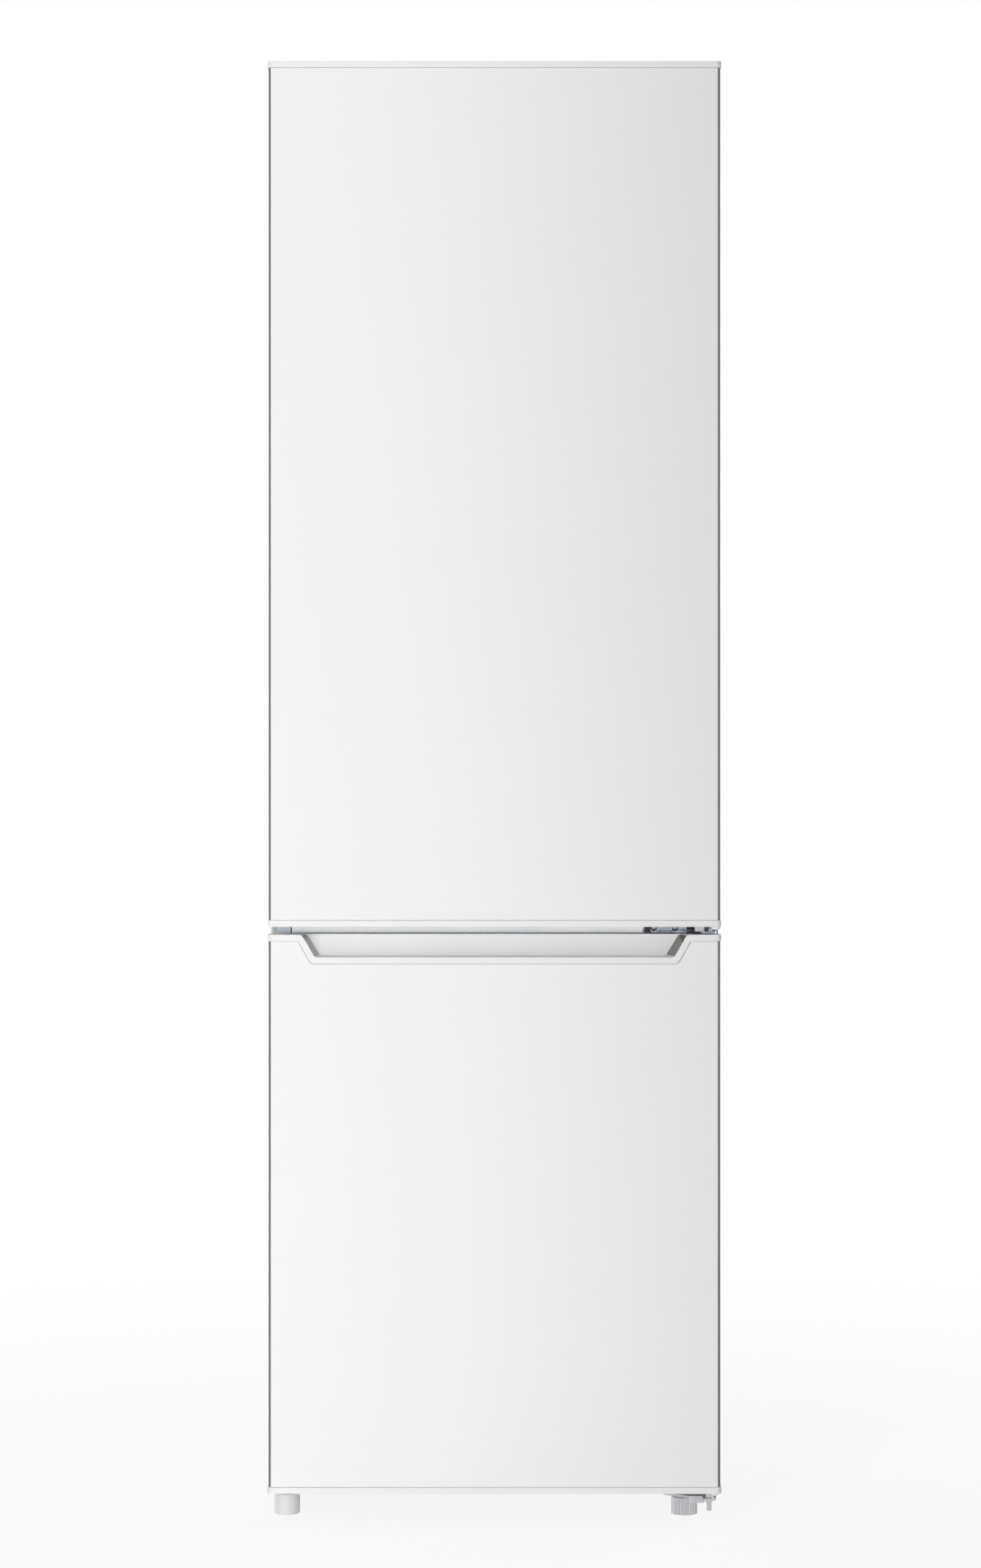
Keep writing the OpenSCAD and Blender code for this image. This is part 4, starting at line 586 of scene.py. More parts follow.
for node in ("fridge_door_skin", "freezer_door_skin"):   # painted shade: a grey line runs down each fold
    facesTake(dressed[node], "doorFold", foldFaces)
scoop = dressed["freezer_door_top_trim"]   # painted shade makes its ends and floor darker, a painted dark reflection makes its far end darkest, and painted light makes its back lighter
for finish, chosen in (("scoopEnd", scoopEnds(-1)), ("scoopFarEndPaintedReflection", scoopEnds(1)),
                       ("scoopFloor", scoopFloor), ("scoopBack", scoopBack)):
    facesTake(scoop, finish, chosen)
# painted shade darkens the grooves between the right foot's ribs
facesTake(dressed["right_foot"], "footGroove", footGrooves)
print("stage:", len(dressing), "forms dressed")

for node in ("cabinet_foam", "fridge_door_foam", "condenser_wires"):
    data = frame["nodes"][node].data
    data.materials.clear()
    data.materials.append(finishes["blackEnamel" if node == "condenser_wires" else "foam"])


# Closed surfaces from stacked rings

def ringStack(rings, loop=False):
    # Quads join each closed ring to the next; the end rings are capped, or joined in a loop
    rows, count = rings.shape[:2]
    k = np.arange(count)
    n = np.roll(k, -1)
    base = np.arange(rows if loop else rows - 1)[:, None] * count
    after = (base + count) % (rows * count)
    faces = np.stack([base + k, base + n, after + n, after + k], axis=2).reshape(-1, 4).tolist()
    if not loop:
        faces += [k[::-1].tolist(), (k + (rows - 1) * count).tolist()]
    return rings.reshape(-1, 3), faces


def roundedBox(x0, x1, y0, y1, radius, steps=6):
    # Four quarter circles, one about the centre of each corner, joined by straight sides
    angle = np.radians(np.concatenate([np.linspace(0, 90, steps + 1) + 90 * k
                                       for k in (3, 0, 1, 2)]))
    cx = np.repeat([x1 - radius, x1 - radius, x0 + radius, x0 + radius], steps + 1)
    cy = np.repeat([y0 + radius, y1 - radius, y1 - radius, y0 + radius], steps + 1)
    return np.stack([cx + radius * np.cos(angle), cy + radius * np.sin(angle)], axis=1)


def stackedBoxes(x, y, rows, radius, steps=6):
    # One rounded box for each row, drawn in by the row's inset and set at its height
    rings = [np.insert(roundedBox(x[0] + i, x[1] - i, y[0] + i, y[1] - i,
                                  max(radius - i, 0.4 * mm), steps), 2, z, axis=1)
             for i, z in rows]
    return ringStack(np.array(rings))


def padShell(low, high, radius, fillet, steps=4):
    # A block whose plan corners take the radius and whose upper and lower edges take the fillet
    turn = np.radians(np.linspace(0, 90, 5))
    lower = np.stack([fillet * (1 - np.sin(turn)), low[2] + fillet * (1 - np.cos(turn))], axis=1)
    upper = np.stack([lower[::-1, 0], high[2] + low[2] - lower[::-1, 1]], axis=1)
    return stackedBoxes((low[0], high[0]), (low[1], high[1]),
                        np.concatenate([lower, upper]), radius, steps)


def lathe(profile, sides=48, centre=(0, 0, 0), axis="z"):
    # Each profile point becomes a ring about the axis, by a height and a radius, which is one
    # number or one for each side
    angle = np.linspace(0, 2 * np.pi, sides, endpoint=False)
    radius = np.maximum([np.broadcast_to(r, sides) for r, h in profile], 0.01 * mm)
    high = np.array([np.full(sides, h) for r, h in profile])
    a, b = radius * np.cos(angle), radius * np.sin(angle)
    order = {"x": (high, a, b), "y": (b, high, a), "z": (a, b, high)}[axis]
    return ringStack(np.stack(order, axis=2) + np.array(centre))


def frameSweep(half, z, profile, y0, radius=0.0, steps=1):
    # The profile, a distance out and a depth, is carried round a rectangle and joins itself
    rings = []
    for out, depth in profile:
        ring = roundedBox(-half - out, half + out, z[0] - out, z[1] + out,
                          max(radius + out, 0.05 * mm), steps)
        rings.append(np.stack([ring[:, 0], np.full(len(ring), y0 + depth), ring[:, 1]], axis=1))
    return ringStack(np.array(rings), loop=True)


def reliefShell(x, z, height, front, back):
    # A grid over X and Z whose Y is the front plane plus the height, closed by a flat back
    gridX, gridZ = np.meshgrid(x, z)
    top = np.stack([gridX, front + height(gridX, gridZ), gridZ], axis=2).reshape(-1, 3)
    across, up = len(x), len(z)
    cell = (np.arange(up - 1)[:, None] * across + np.arange(across - 1)).reshape(-1)
    faces = np.stack([cell, cell + 1, cell + across + 1, cell + across], axis=1).tolist()
    border = np.concatenate([np.arange(across), np.arange(1, up) * across + across - 1,
                             np.arange(across - 2, -1, -1) + (up - 1) * across,
                             np.arange(up - 2, 0, -1) * across])
    low = top[border] * (1, 0, 1) + (0, back, 0)
    k = np.arange(len(border))
    n = np.roll(k, -1)
    faces += np.stack([border, len(top) + k, len(top) + n, border[n]], axis=1).tolist()
    faces.append((len(top) + k).tolist())
    return np.concatenate([top, low]), faces


def knots(edges, reach=2.0, count=9, ends=()):
    # Grid lines gathered about each edge, so that a steep wall keeps its shape
    lines = [np.linspace(e - reach * mm, e + reach * mm, count) for e in edges]
    return np.unique(np.round(np.concatenate(lines + [np.array(ends)]), 6))


def ramp(value, start, end):
    # 0 before the start, 1 after the end, and an S-shaped rise between them
    t = np.clip((value - start) / (end - start), 0, 1)
    return t * t * (3 - 2 * t)


def between(value, low, high, soft):
    # 1 inside the limits, with a soft rise and fall next to them
    return np.minimum(ramp(value, low, low + soft), 1 - ramp(value, high - soft, high))


def nodeBox(node):
    low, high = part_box(node)
    return np.array(low), np.array(high)


# Trays: the drawers, the door bins, the bottle shelf and the evaporating tray

traySettings = {
    # node: wall, plan corner, floor fillet, draft, rim overhang and rim depth in millimetres,
    # the heights of the embossed bands as shares of the wall, and the side ears or the grip
    "crisper_drawer": {"wall": 2.2, "corner": 16, "fillet": 9, "draft": 2.5, "rim": 1.6,
                       "rimDepth": 5, "bands": (0.34, 0.62), "grip": 0.225},
    "freezer_drawer_top": {"wall": 2.2, "corner": 15, "fillet": 8, "draft": 2.0, "rim": 1.6,
                           "rimDepth": 6, "bands": (0.28, 0.5), "grip": 0.225},
    "door_bin_top": {"wall": 2.2, "corner": 10, "fillet": 5, "draft": 0.8, "rim": 1.2,
                     "rimDepth": 4, "bands": (0.6,), "ears": 28, "earReach": 4.5,
                     "earDrop": 12, "earHigh": 8, "earRoot": 2.4, "earInset": 2},
    "evaporating_tray": {"wall": 2.0, "corner": 10, "fillet": 4, "draft": 1.0, "rim": 1.5,
                         "rimDepth": 2, "bands": (), "finish": "blackPlastic"},
}
for other, like in (("freezer_drawer_middle", "freezer_drawer_top"),
                    ("freezer_drawer_bottom", "freezer_drawer_top"),
                    ("door_bin_upper", "door_bin_top"), ("door_bin_lower", "door_bin_top"),
                    ("bottle_shelf", "door_bin_top")):
    traySettings[other] = traySettings[like]


bandSettings = {"half": 2.4, "flat": 1.6, "deep": 0.7}   # of an embossed band, in millimetres


def trayRows(low, high, s):
    # Up the outside from the floor's fillet, over the rim and down the inside to the floor
    wall, fillet, draft, rim = (s[k] * mm for k in ("wall", "fillet", "draft", "rim"))
    z0, z1 = low[2], high[2]
    turn = np.radians(np.linspace(0, 90, 6))
    rows = [(rim + draft + fillet * (1 - math.sin(a)), z0 + fillet * (1 - math.cos(a)))
            for a in turn]
    half, flat, deep = (bandSettings[k] * mm for k in ("half", "flat", "deep"))
    for share in s["bands"]:
        z = z0 + share * (z1 - z0)
        lean = rim + draft * (1 - share)
        rows += [(lean, z - half), (lean - deep, z - flat), (lean - deep, z + flat),
                 (lean, z + half)]
    under = z1 - s["rimDepth"] * mm
    rows += [(rim, under - 0.4 * mm), (rim - 0.4 * mm, under), (0.3 * mm, under),
             (0, under + 0.3 * mm), (0, z1 - 0.8 * mm), (0.25 * mm, z1 - 0.25 * mm),
             (0.8 * mm, z1), (rim + wall - 0.6 * mm, z1), (rim + wall, z1 - 0.6 * mm)]
    inner = fillet - wall / 2
    rows += [(rim + wall + draft + inner * (1 - math.cos(a)),
              z0 + wall + inner * (1 - math.sin(a))) for a in turn]
    return rows


gripSettings = {  # low and high of a shelf and of the lip behind it, from the tray's front and rim
    "shelf": ((2.6, -30), (20, -27.6), 6, 6), "lip": ((17, -39), (19.4, -28), 1.1, 4),
}


def makeTray(node, s):
    # The stacked boxes of its rows, with two ears at its sides or a grip inside its front
    low, high = nodeBox(node)
    x = (low[0], high[0])
    shells = []
    if "ears" in s:
        half = high[0] - s["earReach"] * mm
        x = (-half, half)
        drop = high[2] - s["earDrop"] * mm
        for side in (-1, 1):
            inner, outer = side * (half - s["earRoot"] * mm), side * high[0]
            shells.append(padShell((min(inner, outer), low[1] + s["earInset"] * mm, drop),
                                   (max(inner, outer), low[1] + s["ears"] * mm,
                                    drop + s["earHigh"] * mm), 1.6 * mm, 1.2 * mm))
    if "grip" in s:
        reach = (high[0] - low[0]) * s["grip"]
        for near, far, radius, steps in gripSettings.values():
            shells.append(padShell((-reach, low[1] + near[0] * mm, high[2] + near[1] * mm),
                                   (reach, low[1] + far[0] * mm, high[2] + far[1] * mm),
                                   radius * mm, 1 * mm, steps))
    shells.append(stackedBoxes(x, (low[1], high[1]), trayRows(low, high, s), s["corner"] * mm, 8))
    addPiece(pieceName(node), shells, s.get("finish", "clearPlastic"), node, 32)


for node, settings in traySettings.items():
    makeTray(node, settings)
print("stage:", len(traySettings), "trays made")


# Tape behind the joint round the hand scoop

tapeSettings = {"plane": -277.86, "thick": 0.8, "under": 1.0, "over": 5.0,
                "path": ((-236.2, 703.5), (-222.9, 679.0), (-220.2, 676.2), (-216.0, 675.6))}


def makeTape(s):
    # A flat strip whose section keeps its distance on both sides of the mirrored path
    half = np.array(s["path"])
    path = np.concatenate([half, half[::-1] * (-1, 1)])
    ahead = np.gradient(path, axis=0)
    out = np.stack([ahead[:, 1], -ahead[:, 0]], axis=1)
    out /= np.linalg.norm(out, axis=1, keepdims=True)
    near, far = s["plane"], s["plane"] + s["thick"]
    rings = [np.insert(path + out * reach, 1, y, axis=1)
             for reach, y in ((-s["under"], near), (s["over"], near), (s["over"], far),
                              (-s["under"], far))]
    addPiece("scoopTape", [ringStack(np.stack(rings, axis=1) * mm)], "sealTape",
             "freezer_door_top_trim", 40, replace=False)


makeTape(tapeSettings)


# Dark pads beside the hinges in the gap of the doors: painted shade, standing for the shadow in the
# gap

paintedShadePadSettings = {  # low and high corners in millimetres
    "overPlate": ((183.4, -229.5, 712.3), (190.0, -227.15, 728.5)),
    "underPlate": ((183.4, -227.6, 715.4), (190.0, -223.05, 728.5)),
    "behindBush": ((234.5, -225.2, 715.4), (247.5, -223.05, 728.8)),
    "besideBlank": ((-248.4, -221.4, 705.0), (-247.2, -220.05, 729.0)),
}


def makePaintedShadePads(s):
    # Blocks with rounded corners and edges, dark as painted shade
    shells = [padShell(np.array(low) * mm, np.array(high) * mm, 0.4 * mm, 0.3 * mm)
              for low, high in s.values()]
    addPiece("hingePads", shells, "rollerNylon", "middle_hinge", 40, replace=False)


makePaintedShadePads(paintedShadePadSettings)


# Door seals

sealSettings = {
    "edge": 7.0,    # from the seal's outside to the middle of its section
    "section": ((5, 0), (5, 2.6), (2.2, 3.3), (2, 4.4), (4.1, 5.6), (4.4, 6.6), (2.4, 7.5),
                (2.2, 8.5), (6.2, 8.8), (7, 9.5), (7, 12.8), (6.4, 13.6), (5.4, 13.8),
                (1.6, 13.8), (0.9, 13.2)),   # half of the section: foot, bellows, magnet strip
}


def makeSeal(node, s):
    # The section and its mirror image are carried round the door's opening
    low, high = nodeBox(node)
    half = np.array(s["section"]) * mm
    section = np.concatenate([half, half[::-1] * (-1, 1)])
    edge = s["edge"] * mm
    shell = frameSweep(high[0] - edge, (low[2] + edge, high[2] - edge), section, low[1])
    addPiece("fridgeSeal" if node.startswith("fridge") else "freezerSeal", [shell],
             "sealVinyl", node, 50)


for node in ("fridge_door_gasket", "freezer_door_gasket"):
    makeSeal(node, sealSettings)


# Inner door panels, each one moulded sheet

doorPanelSettings = {
    "ribInner": 200.0, "ribWidth": 14.0, "ribDepth": 38.0, "ribSoft": 3.0,
    "ribFoot": 25.65, "ribHead": 58.3, "ribEndSoft": 8.0,
    "barDepth": 10.0, "barLow": 7.0, "barHigh": 14.0,
    "lugInner": 196.0, "lugDepth": 30.0, "lugHigh": 26.0, "lugDip": 12.0, "lugSoft": 1.6,
    "lugLap": 4.0,
    "ground": 1.5, "raisedFoot": 48.7, "raisedHead": 23.65,
    "raisedHalf": 205.0, "raisedCorner": 14.0, "raisedSoft": 5.0,
    "channelDepth": 2.0, "channelHigh": 9.0, "channelSoft": 4.0, "channelEnd": (40.0, 30.0),
}


def makeFridgePanel(s):
    # Two upright ribs joined by bars at the foot and head, with lugs for the bins on the ribs;
    # the height at each place is the highest of them
    node = "fridge_door_liner"
    low, high = nodeBox(node)
    ribIn, ribOut = s["ribInner"] * mm, (s["ribInner"] + s["ribWidth"]) * mm
    front = high[1] - s["ribDepth"] * mm
    z0, z1 = low[2] + s["ribFoot"] * mm, high[2] - s["ribHead"] * mm
    lugs = [nodeBox(b)[1][2] - s["lugDip"] * mm
            for b in ("bottle_shelf", "door_bin_lower", "door_bin_upper", "door_bin_top")]
    soft = s["ribSoft"] * mm

    def height(x, z):
        x = np.abs(x)
        run = between(z, z0, z1, s["ribEndSoft"] * mm)
        total = s["ribDepth"] * mm * between(x, ribIn, ribOut, soft) * run
        inside = 1 - ramp(x, ribIn - 1 * mm, ribIn + 1 * mm)
        bars = np.maximum(between(z, z0, z0 + s["barLow"] * mm, soft),
                          between(z, z1 - s["barHigh"] * mm, z1, soft))
        total = np.maximum(total, s["barDepth"] * mm * bars * inside)
        for top in lugs:
            lug = between(z, top - s["lugHigh"] * mm, top, s["lugSoft"] * mm)
            lug = lug * between(x, s["lugInner"] * mm, ribIn + s["lugLap"] * mm, s["lugSoft"] * mm)
            total = np.maximum(total, s["lugDepth"] * mm * lug)
        return total

    side = knots([ribIn, ribOut, s["lugInner"] * mm], 3.2, 13, (0.1, high[0]))
    x = np.concatenate([-side[::-1], side])
    z = knots([z0, z0 + s["barLow"] * mm, z1 - s["barHigh"] * mm, z1] + lugs +
              [t - s["lugHigh"] * mm for t in lugs], 3.2, 11,
              (low[2], *np.linspace(z0 + 20 * mm, z1 - 20 * mm, 24), high[2]))
    addPiece("fridgeDoorPanel", [reliefShell(x, z, height, front, low[1])], "linerWhite", node, 60)


def makeFreezerPanel(s):
    # One raised field with rounded corners, crossed by two shallow channels
    node = "freezer_door_liner"
    low, high = nodeBox(node)
    front = low[1] + s["ground"] * mm
    depth = high[1] - front
    half = s["raisedHalf"] * mm
    z0, z1 = low[2] + s["raisedFoot"] * mm, high[2] - s["raisedHead"] * mm
    corner, soft = s["raisedCorner"] * mm, s["raisedSoft"] * mm
    middle, tall = (z0 + z1) / 2, (z1 - z0) / 2
    channels = [z0 + (z1 - z0) * k / 3 for k in (1, 2)]

    def height(x, z):
        # Distance inside a rounded rectangle, turned into a soft step
        qx, qz = np.abs(x) - half + corner, np.abs(z - middle) - tall + corner
        outside = np.hypot(np.maximum(qx, 0), np.maximum(qz, 0))
        inside = corner - outside - np.minimum(np.maximum(qx, qz), 0)
        cut = np.maximum.reduce([between(z, c - s["channelHigh"] * mm, c + s["channelHigh"] * mm,
                                         s["channelSoft"] * mm) for c in channels])
        near, far = s["channelEnd"]
        cut = cut * (1 - ramp(np.abs(x), half - near * mm, half - far * mm))
        return depth * ramp(inside, 0, soft) - s["channelDepth"] * mm * cut

    side = knots([half - 10 * mm], 12, 25, (0.1, half - 35 * mm, half - 45 * mm, high[0]))
    x = np.concatenate([-side[::-1], side])
    z = np.union1d(knots([z0 + 10 * mm, z1 - 10 * mm], 12, 25, (low[2], high[2])),
                   knots(channels, 14, 15))
    addPiece("freezerDoorPanel", [reliefShell(x, z, height, front, low[1])], "linerWhite", node, 60)


makeFridgePanel(doorPanelSettings)
makeFreezerPanel(doorPanelSettings)
print("stage: seals and inner door panels made")


# Screws with a cross recess

screwSettings = {"headRadius": 4.2, "headHigh": 2.0, "shank": 2.0, "shankLong": 12.0,
                 "recess": 1.3, "arm": 2.4, "notch": 0.9,
                 "top": ((252.5, -168), (236.5, -194), (220.5, -168)),   # places of their axes
                 "middle": (220.5, 194.5), "middleHigh": 718.85,
                 "bottom": ((252.5, -180), (214.5, -174))}


def screwShell(place, axis, s, sides=32):
    # A domed head whose recess follows a four-armed outline, and a plain shank behind it
    angle = np.linspace(0, 2 * np.pi, sides, endpoint=False)
    cross = s["notch"] + (s["arm"] - s["notch"]) * np.abs(np.cos(2 * angle)) ** 6
    r, h = s["headRadius"], s["headHigh"]
    rows = [(s["shank"], -s["shankLong"]), (s["shank"], 0), (r * 0.98, 0), (r, 0.3),
            (r * 0.97, h * 0.5), (r * 0.86, h * 0.82), (r * 0.68, h), (cross, h),
            (cross * 0.8, h - s["recess"])]
    points, faces = lathe([(q * mm, z * mm) for q, z in rows], sides)
    direction = Vector(axis).to_track_quat("Z", "Y").to_matrix()
    return points @ np.array(direction).T + np.array(place), faces


def makeScrews(s):
    # Heads stand on the plates: upwards at the top, forwards in the middle, downwards below
    low, high = nodeBox("hinge_screws")
    thick = s["headHigh"] * mm
    shells = [screwShell((x * mm, y * mm, high[2] - thick), (0, 0, 1), s) for x, y in s["top"]]
    shells += [screwShell((x * mm, low[1] + thick, s["middleHigh"] * mm), (0, -1, 0), s)
               for x in s["middle"]]
    shells += [screwShell((x * mm, y * mm, low[2] + thick), (0, 0, -1), s)
               for x, y in s["bottom"]]
    addPiece("hingeScrews", shells, "screwSteel", "hinge_screws", 40)


makeScrews(screwSettings)


# Compressor

compressorSettings = {"potRadius": 70.0, "potHigh": 146.0, "crown": 2.6, "seam": 2.5,
                      "seamHigh": 4.0, "plate": 2.4, "plateCorner": 10.0,
                      "raisedInset": (22.0, 18.0), "raisedHigh": 5.0, "raisedCorner": 24.0}


def makeCompressor(s):
    # The pot's outline is a superellipse, with the weld's flange round its middle
    node = "compressor"
    low, high = nodeBox(node)
    centre = (low + high) / 2
    r, tall = s["potRadius"] * mm, s["potHigh"] * mm
    top = high[2]
    turn = np.radians(np.linspace(-90, 90, 41))
    power = 2 / s["crown"]
    outline = np.stack([r * np.abs(np.cos(turn)) ** power,
                        top - tall / 2 + tall / 2 * np.sign(np.sin(turn))
                        * np.abs(np.sin(turn)) ** power], axis=1)
    seam = r + s["seam"] * mm
    e = s["seamHigh"] / 2 * mm
    mid = top - tall / 2
    weld = [(r - 1 * mm, mid - e), (seam - 1 * mm, mid - e), (seam, mid - e + 0.8 * mm),
            (seam, mid - 0.3 * mm), (seam - 0.6 * mm, mid), (seam, mid + 0.3 * mm),
            (seam, mid + e - 0.8 * mm), (seam - 1 * mm, mid + e), (r - 1 * mm, mid + e)]
    place = (centre[0], centre[1], 0)
    plate = padShell(low, (high[0], high[1], low[2] + s["plate"] * mm), s["plateCorner"] * mm,
                     0.8 * mm, 8)
    inset = np.array([*s["raisedInset"], 0]) * mm
    raised = padShell(low + inset + (0, 0, 1 * mm),
                      (high - inset)[:2].tolist() + [low[2] + s["raisedHigh"] * mm],
                      s["raisedCorner"] * mm, 1.8 * mm, 8)
    addPiece("compressor", [lathe(outline, 72, place), lathe(weld, 72, place), plate, raised],
             "blackEnamel", node, 30)


makeCompressor(compressorSettings)


# Thermostat knob, its scale, the lens and the bulb

knobSettings = {"radius": 15.0, "flutes": 24, "fluteDepth": 0.5, "high": 10.0, "spindle": 3.0,
                "ridge": (4.8, 26.4, 4.0),   # width, length and height
                "ticks": 9, "tickRadius": 19.5, "tickSweep": 270.0, "tickWide": 0.9,
                "tickLong": 1.4, "tickGrowth": 0.35}


def makeKnob(s):
    # The skirt's radius dips with the cosine of the angle times the number of flutes
    node = "thermostat_knob"
    low, high = nodeBox(node)
    centre = (low + high) / 2
    face = low[1] + 4 * mm
    r, sides = s["radius"], s["flutes"] * 6
    angle = np.linspace(0, 2 * np.pi, sides, endpoint=False)
    dip = (0.5 + 0.5 * np.cos(s["flutes"] * angle)) * s["fluteDepth"]
    rows = [(s["spindle"], (high[1] - face) / mm), (s["spindle"], 11), (r * 0.9, s["high"]),
            (r, 9.4), (r - dip * 0.4, 7.6), (r - dip, 6.6), (r - dip - 0.6, 2),
            (r - dip - 1.0, 0.8), (r - 2.2, 0.2), (r - 3.2, 0), (r * 0.3, 0.2)]
    shell = lathe([(q * mm, y * mm) for q, y in rows], sides, (centre[0], face, centre[2]), "y")
    wide, long, proud = (v * mm for v in s["ridge"])
    points, faces = padShell((-wide / 2, -long / 2, -1.2 * mm), (wide / 2, long / 2, proud),
                             2.2 * mm, 1.2 * mm, 6)
    ridge = (np.stack([points[:, 0] + centre[0], face - points[:, 2],
                       points[:, 1] + centre[2]], axis=1), faces)
    addPiece("thermostatKnob", [shell, ridge], "dialGrey", node, 40)
    ticks = []
    plane = nodeBox("control_housing")[0][1]
    half = s["tickWide"] / 2 * mm
    for k in range(s["ticks"]):
        turn = math.radians(-s["tickSweep"] / 2 + s["tickSweep"] * k / (s["ticks"] - 1))
        length = (s["tickLong"] + s["tickGrowth"] * k) * mm
        points, faces = padShell((-half, 0, -0.15 * mm), (half, length, 0.12 * mm),
                                 0.4 * mm, 0.1 * mm, 3)
        out = points[:, 1] + s["tickRadius"] * mm
        ticks.append((np.stack([centre[0] + points[:, 0] * math.cos(turn) + out * math.sin(turn),
                                plane - points[:, 2],
                                centre[2] - points[:, 0] * math.sin(turn)
                                + out * math.cos(turn)], axis=1), faces))
    addPiece("thermostatScale", ticks, "dialInk", "control_housing", 40, replace=False)


bulbSettings = {"radius": 10.4, "neck": 5.6, "shoulder": 6.0, "neckLong": (1.0, 6.0, 9.0),
                "ballFrom": -58, "ribs": 10, "ribPitch": 2.4, "ribRadius": 0.93,
                "ribShare": 0.06}


def makeBulb(s):
    # A bulb turned about its length, screwed into a ribbed cap
    node = "lamp"
    low, high = nodeBox(node)
    centre = (low + high) / 2
    x0, x1 = low[0], high[0]
    r = (high[2] - low[2]) / 2
    cap = [(0, x0)] + [(r * (s["ribRadius"] + s["ribShare"] * (k % 2)),
                        x0 + (1 + s["ribPitch"] * k) * mm) for k in range(s["ribs"])]
    end = cap[-1][1]
    cap += [(r * 0.9, end + 0.5 * mm), (r * 0.6, end + 1.5 * mm), (0, end + 1.5 * mm)]
    turn = np.radians(np.linspace(s["ballFrom"], 90, 22))
    ball = s["radius"] * mm
    bulb = np.stack([ball * np.cos(turn), x1 - ball + ball * np.sin(turn)], axis=1)
    neck = [(radius * mm, end + reach * mm) for radius, reach in
            zip((s["neck"], s["neck"], s["shoulder"]), s["neckLong"])]
    place = (0, centre[1], centre[2])
    addPiece("bulb", [lathe(np.concatenate([neck, bulb]), 36, place, "x")], "bulbGlass", node, 50)
    addPiece("bulbSocket", [lathe(cap, 36, place, "x")], "trimWhite", node, 30, replace=False)


lensSettings = {"pitch": 3.0, "ridge": 0.9, "thick": 1.6, "wall": 1.2, "wallHigh": 7.0}


def makeLens(s):
    # A shallow tray whose underside is a cosine wave along its length
    node = "lamp_lens"
    low, high = nodeBox(node)
    x = np.linspace(low[0], high[0], 197)
    y = np.array([low[1], low[1] + 1 * mm, *np.linspace(low[1] + 3 * mm, high[1] - 3 * mm, 9),
                  high[1] - 1 * mm, high[1]])
    rise, half, top = s["ridge"] * mm, s["wall"] * mm, s["wallHigh"] * mm

    def height(gridX, gridY):
        wave = 0.5 - 0.5 * np.cos((gridX - low[0]) / (s["pitch"] * mm) * 2 * np.pi)
        return rise * wave * between(gridY, low[1] + 0.5 * mm, high[1] - 0.5 * mm, 2 * mm)

    points, faces = reliefShell(x, y, height, 0, -s["thick"] * mm)
    flipped = np.stack([points[:, 0], points[:, 2], low[2] + rise - points[:, 1]], axis=1)
    section = [(half, 0), (half, top - 0.4 * mm), (half / 2, top)]
    section += [(-out, depth) for out, depth in section[::-1]]
    wall = frameSweep((high[0] - low[0]) / 2 - half, (low[1] + half, high[1] - half), section, 0,
                      0.5 * mm, 3)
    wallPoints = np.stack([wall[0][:, 0] + (low[0] + high[0]) / 2, wall[0][:, 2],
                           low[2] + rise + wall[0][:, 1]], axis=1)
    addPiece("lampLens", [(flipped, faces), (wallPoints, wall[1])], "lensPlastic", node, 50)


makeKnob(knobSettings)
makeBulb(bulbSettings)
makeLens(lensSettings)
print("stage: compressor, knob, lamp and screws made")


# Glass plates, green where one looks into their edge

for node in ("glass_shelf_upper", "glass_shelf_middle", "glass_shelf_lower", "crisper_lid"):
    facesTake(dressNode(node, "shelfGlass", 0.5), "glassEdge",
              lambda n, m: np.abs(n[:, 2]) < 0.5)


# Pressed beads in the back sheet

beadSettings = {"half": 205.0, "z": (0.30, 1.68), "radius": 30.0, "wide": 6.0, "high": 1.3,
                "inner": 60.0}


def makeBeads(s):
    # A half-round section carried round two rectangles, one inside the other
    node = "back_panel"
    low, high = nodeBox(node)
    turn = np.radians(np.linspace(0, 180, 9))
    half = s["wide"] / 2
    section = np.stack([half * np.cos(turn), s["high"] * np.sin(turn)], axis=1)
    section = np.concatenate([section, [(-half, -0.2), (half, -0.2)]]) * mm
    shells = [frameSweep((s["half"] - inset) * mm, (s["z"][0] + inset * mm, s["z"][1] - inset * mm),
                         section, high[1], s["radius"] * mm, 8) for inset in (0, s["inner"])]
    addPiece("backBeads", shells, "sheetGrey", node, 60, replace=False)


makeBeads(beadSettings)
print("stage: glass and back sheet made")


# Floor, light and background

studio = {
    "floorHalf": 9.0, "floorColour": (0.8, 0.8, 0.8),
    "nearGlow": 0.88, "farGlow": 1.0, "glowReach": 2.4,   # the camera sees the far floor as white
    "ambient": 0.2,          # even light from all round, apart from the lamps
    "key": {"at": (-0.45, -1.7, 1.7), "aim": (-0.45, -0.28, 1.7), "wide": 0.45, "high": 6.0,
            "power": 44.5, "mirrored": False},
    "top": {"at": (0.0, 0.7, 4.6), "aim": (0.0, 0.2, 1.0), "wide": 3.0, "high": 2.0,
            "power": 26},
    "rearLeft": {"at": (-3.2, 3.2, 1.5), "aim": (0.0, 0.1, 0.9), "wide": 2.4, "high": 3.0,
                 "power": 95},
    "rearRight": {"at": (3.2, 3.2, 1.5), "aim": (0.0, 0.1, 0.9), "wide": 2.4, "high": 3.0,
                  "power": 95},
}


def seenDirectly(tree):
    # 1 for rays from the camera, and for those that a mirror or glass sends on
    path = addNode(tree, "ShaderNodeLightPath")
    either = math2(tree, "MAXIMUM", path.outputs["Is Camera Ray"], path.outputs["Is Glossy Ray"])
    return math2(tree, "MAXIMUM", either, path.outputs["Is Transmission Ray"])


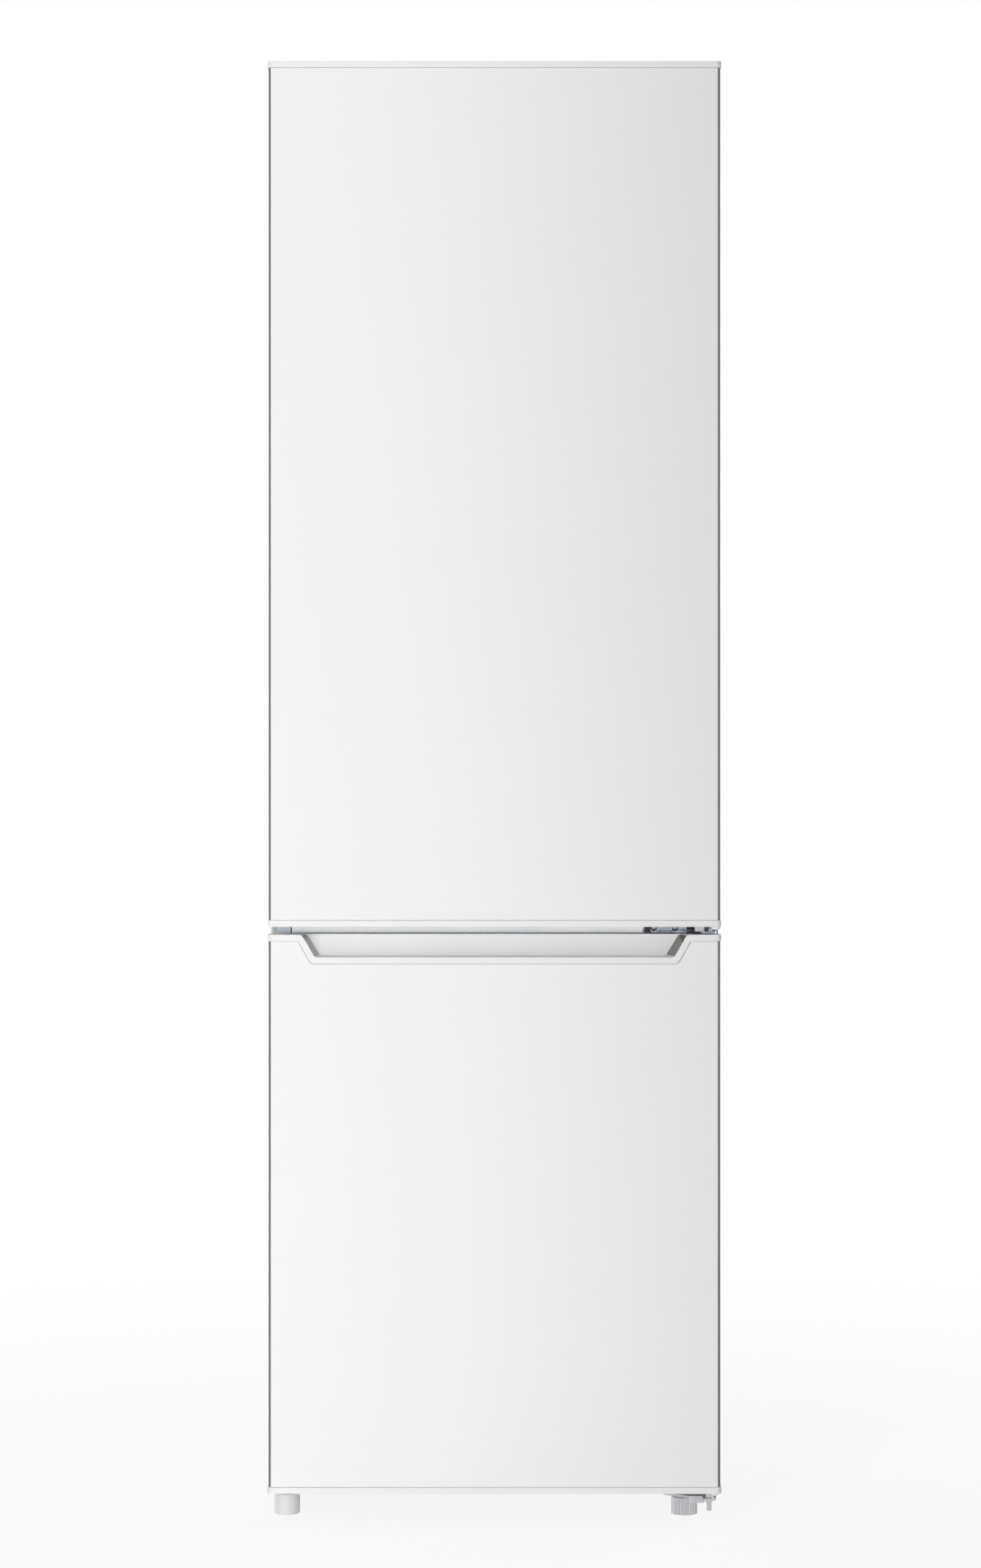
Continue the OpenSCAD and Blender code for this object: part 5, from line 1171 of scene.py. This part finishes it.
def makeFloor(s):
    # A matte sheet that takes the shadow, mixed with a glow that grows away from the object
    half = s["floorHalf"]
    mesh = bpy.data.meshes.new("studioFloor")
    mesh.from_pydata([(-half, -half, 0), (half, -half, 0), (half, half, 0), (-half, half, 0)],
                     [], [(0, 1, 2, 3)])
    floor = bpy.data.objects.new("studioFloor", mesh)
    bpy.context.scene.collection.objects.link(floor)
    material = bpy.data.materials.new("paleFloor")
    material.use_nodes = True
    tree = material.node_tree
    tree.nodes.clear()
    matte = addNode(tree, "ShaderNodeBsdfDiffuse", {"Color": (*s["floorColour"], 1)})
    glow = addNode(tree, "ShaderNodeEmission", {"Strength": 1.0})
    place = addNode(tree, "ShaderNodeTexCoord").outputs["Object"]
    away = addNode(tree, "ShaderNodeVectorMath", {0: place}, operation="LENGTH").outputs["Value"]
    glowing = addNode(tree, "ShaderNodeMapRange", {"Value": away, "From Min": 0.3,
                      "From Max": s["glowReach"], "To Min": s["nearGlow"],
                      "To Max": s["farGlow"]}, interpolation_type="SMOOTHSTEP")
    share = math2(tree, "MULTIPLY", seenDirectly(tree), glowing.outputs["Result"])
    mix = addNode(tree, "ShaderNodeMixShader", {"Fac": share})
    tree.links.new(matte.outputs[0], mix.inputs[1])
    tree.links.new(glow.outputs[0], mix.inputs[2])
    out = addNode(tree, "ShaderNodeOutputMaterial")
    tree.links.new(mix.outputs[0], out.inputs["Surface"])
    mesh.materials.append(material)
    floor.visible_shadow = False   # the key lamp reaches below the floor, to light evenly


def makeWorld(s):
    # White where it is seen, and dimmer as light
    world = bpy.data.worlds.new("paleStudio")
    world.use_nodes = True
    tree = world.node_tree
    background = tree.nodes["Background"]
    background.inputs["Color"].default_value = (1, 1, 1, 1)
    strength = remapped(tree, seenDirectly(tree), 0.0, 1.0, To_Min=s["ambient"], To_Max=1.0)
    tree.links.new(strength, background.inputs["Strength"])
    bpy.context.scene.world = world


def makeLamp(name, s):
    # A rectangle of light at its place, turned towards its aim
    data = bpy.data.lights.new(name, "AREA")
    data.shape = "RECTANGLE"
    data.size = s["wide"]
    data.size_y = s["high"]
    data.energy = s["power"]
    lamp = bpy.data.objects.new(name, data)
    lamp.location = s["at"]
    way = Vector(s["aim"]) - Vector(s["at"])
    lamp.rotation_euler = way.to_track_quat("-Z", "Y").to_euler()
    lamp.visible_camera = False
    lamp.visible_glossy = s.get("mirrored", True)
    bpy.context.scene.collection.objects.link(lamp)


makeFloor(studio)
makeWorld(studio)
for name in ("key", "top", "rearLeft", "rearRight"):
    makeLamp(name + "Lamp", studio[name])
bpy.context.scene.view_settings.view_transform = "Standard"
print("stage: floor, world and lamps placed")
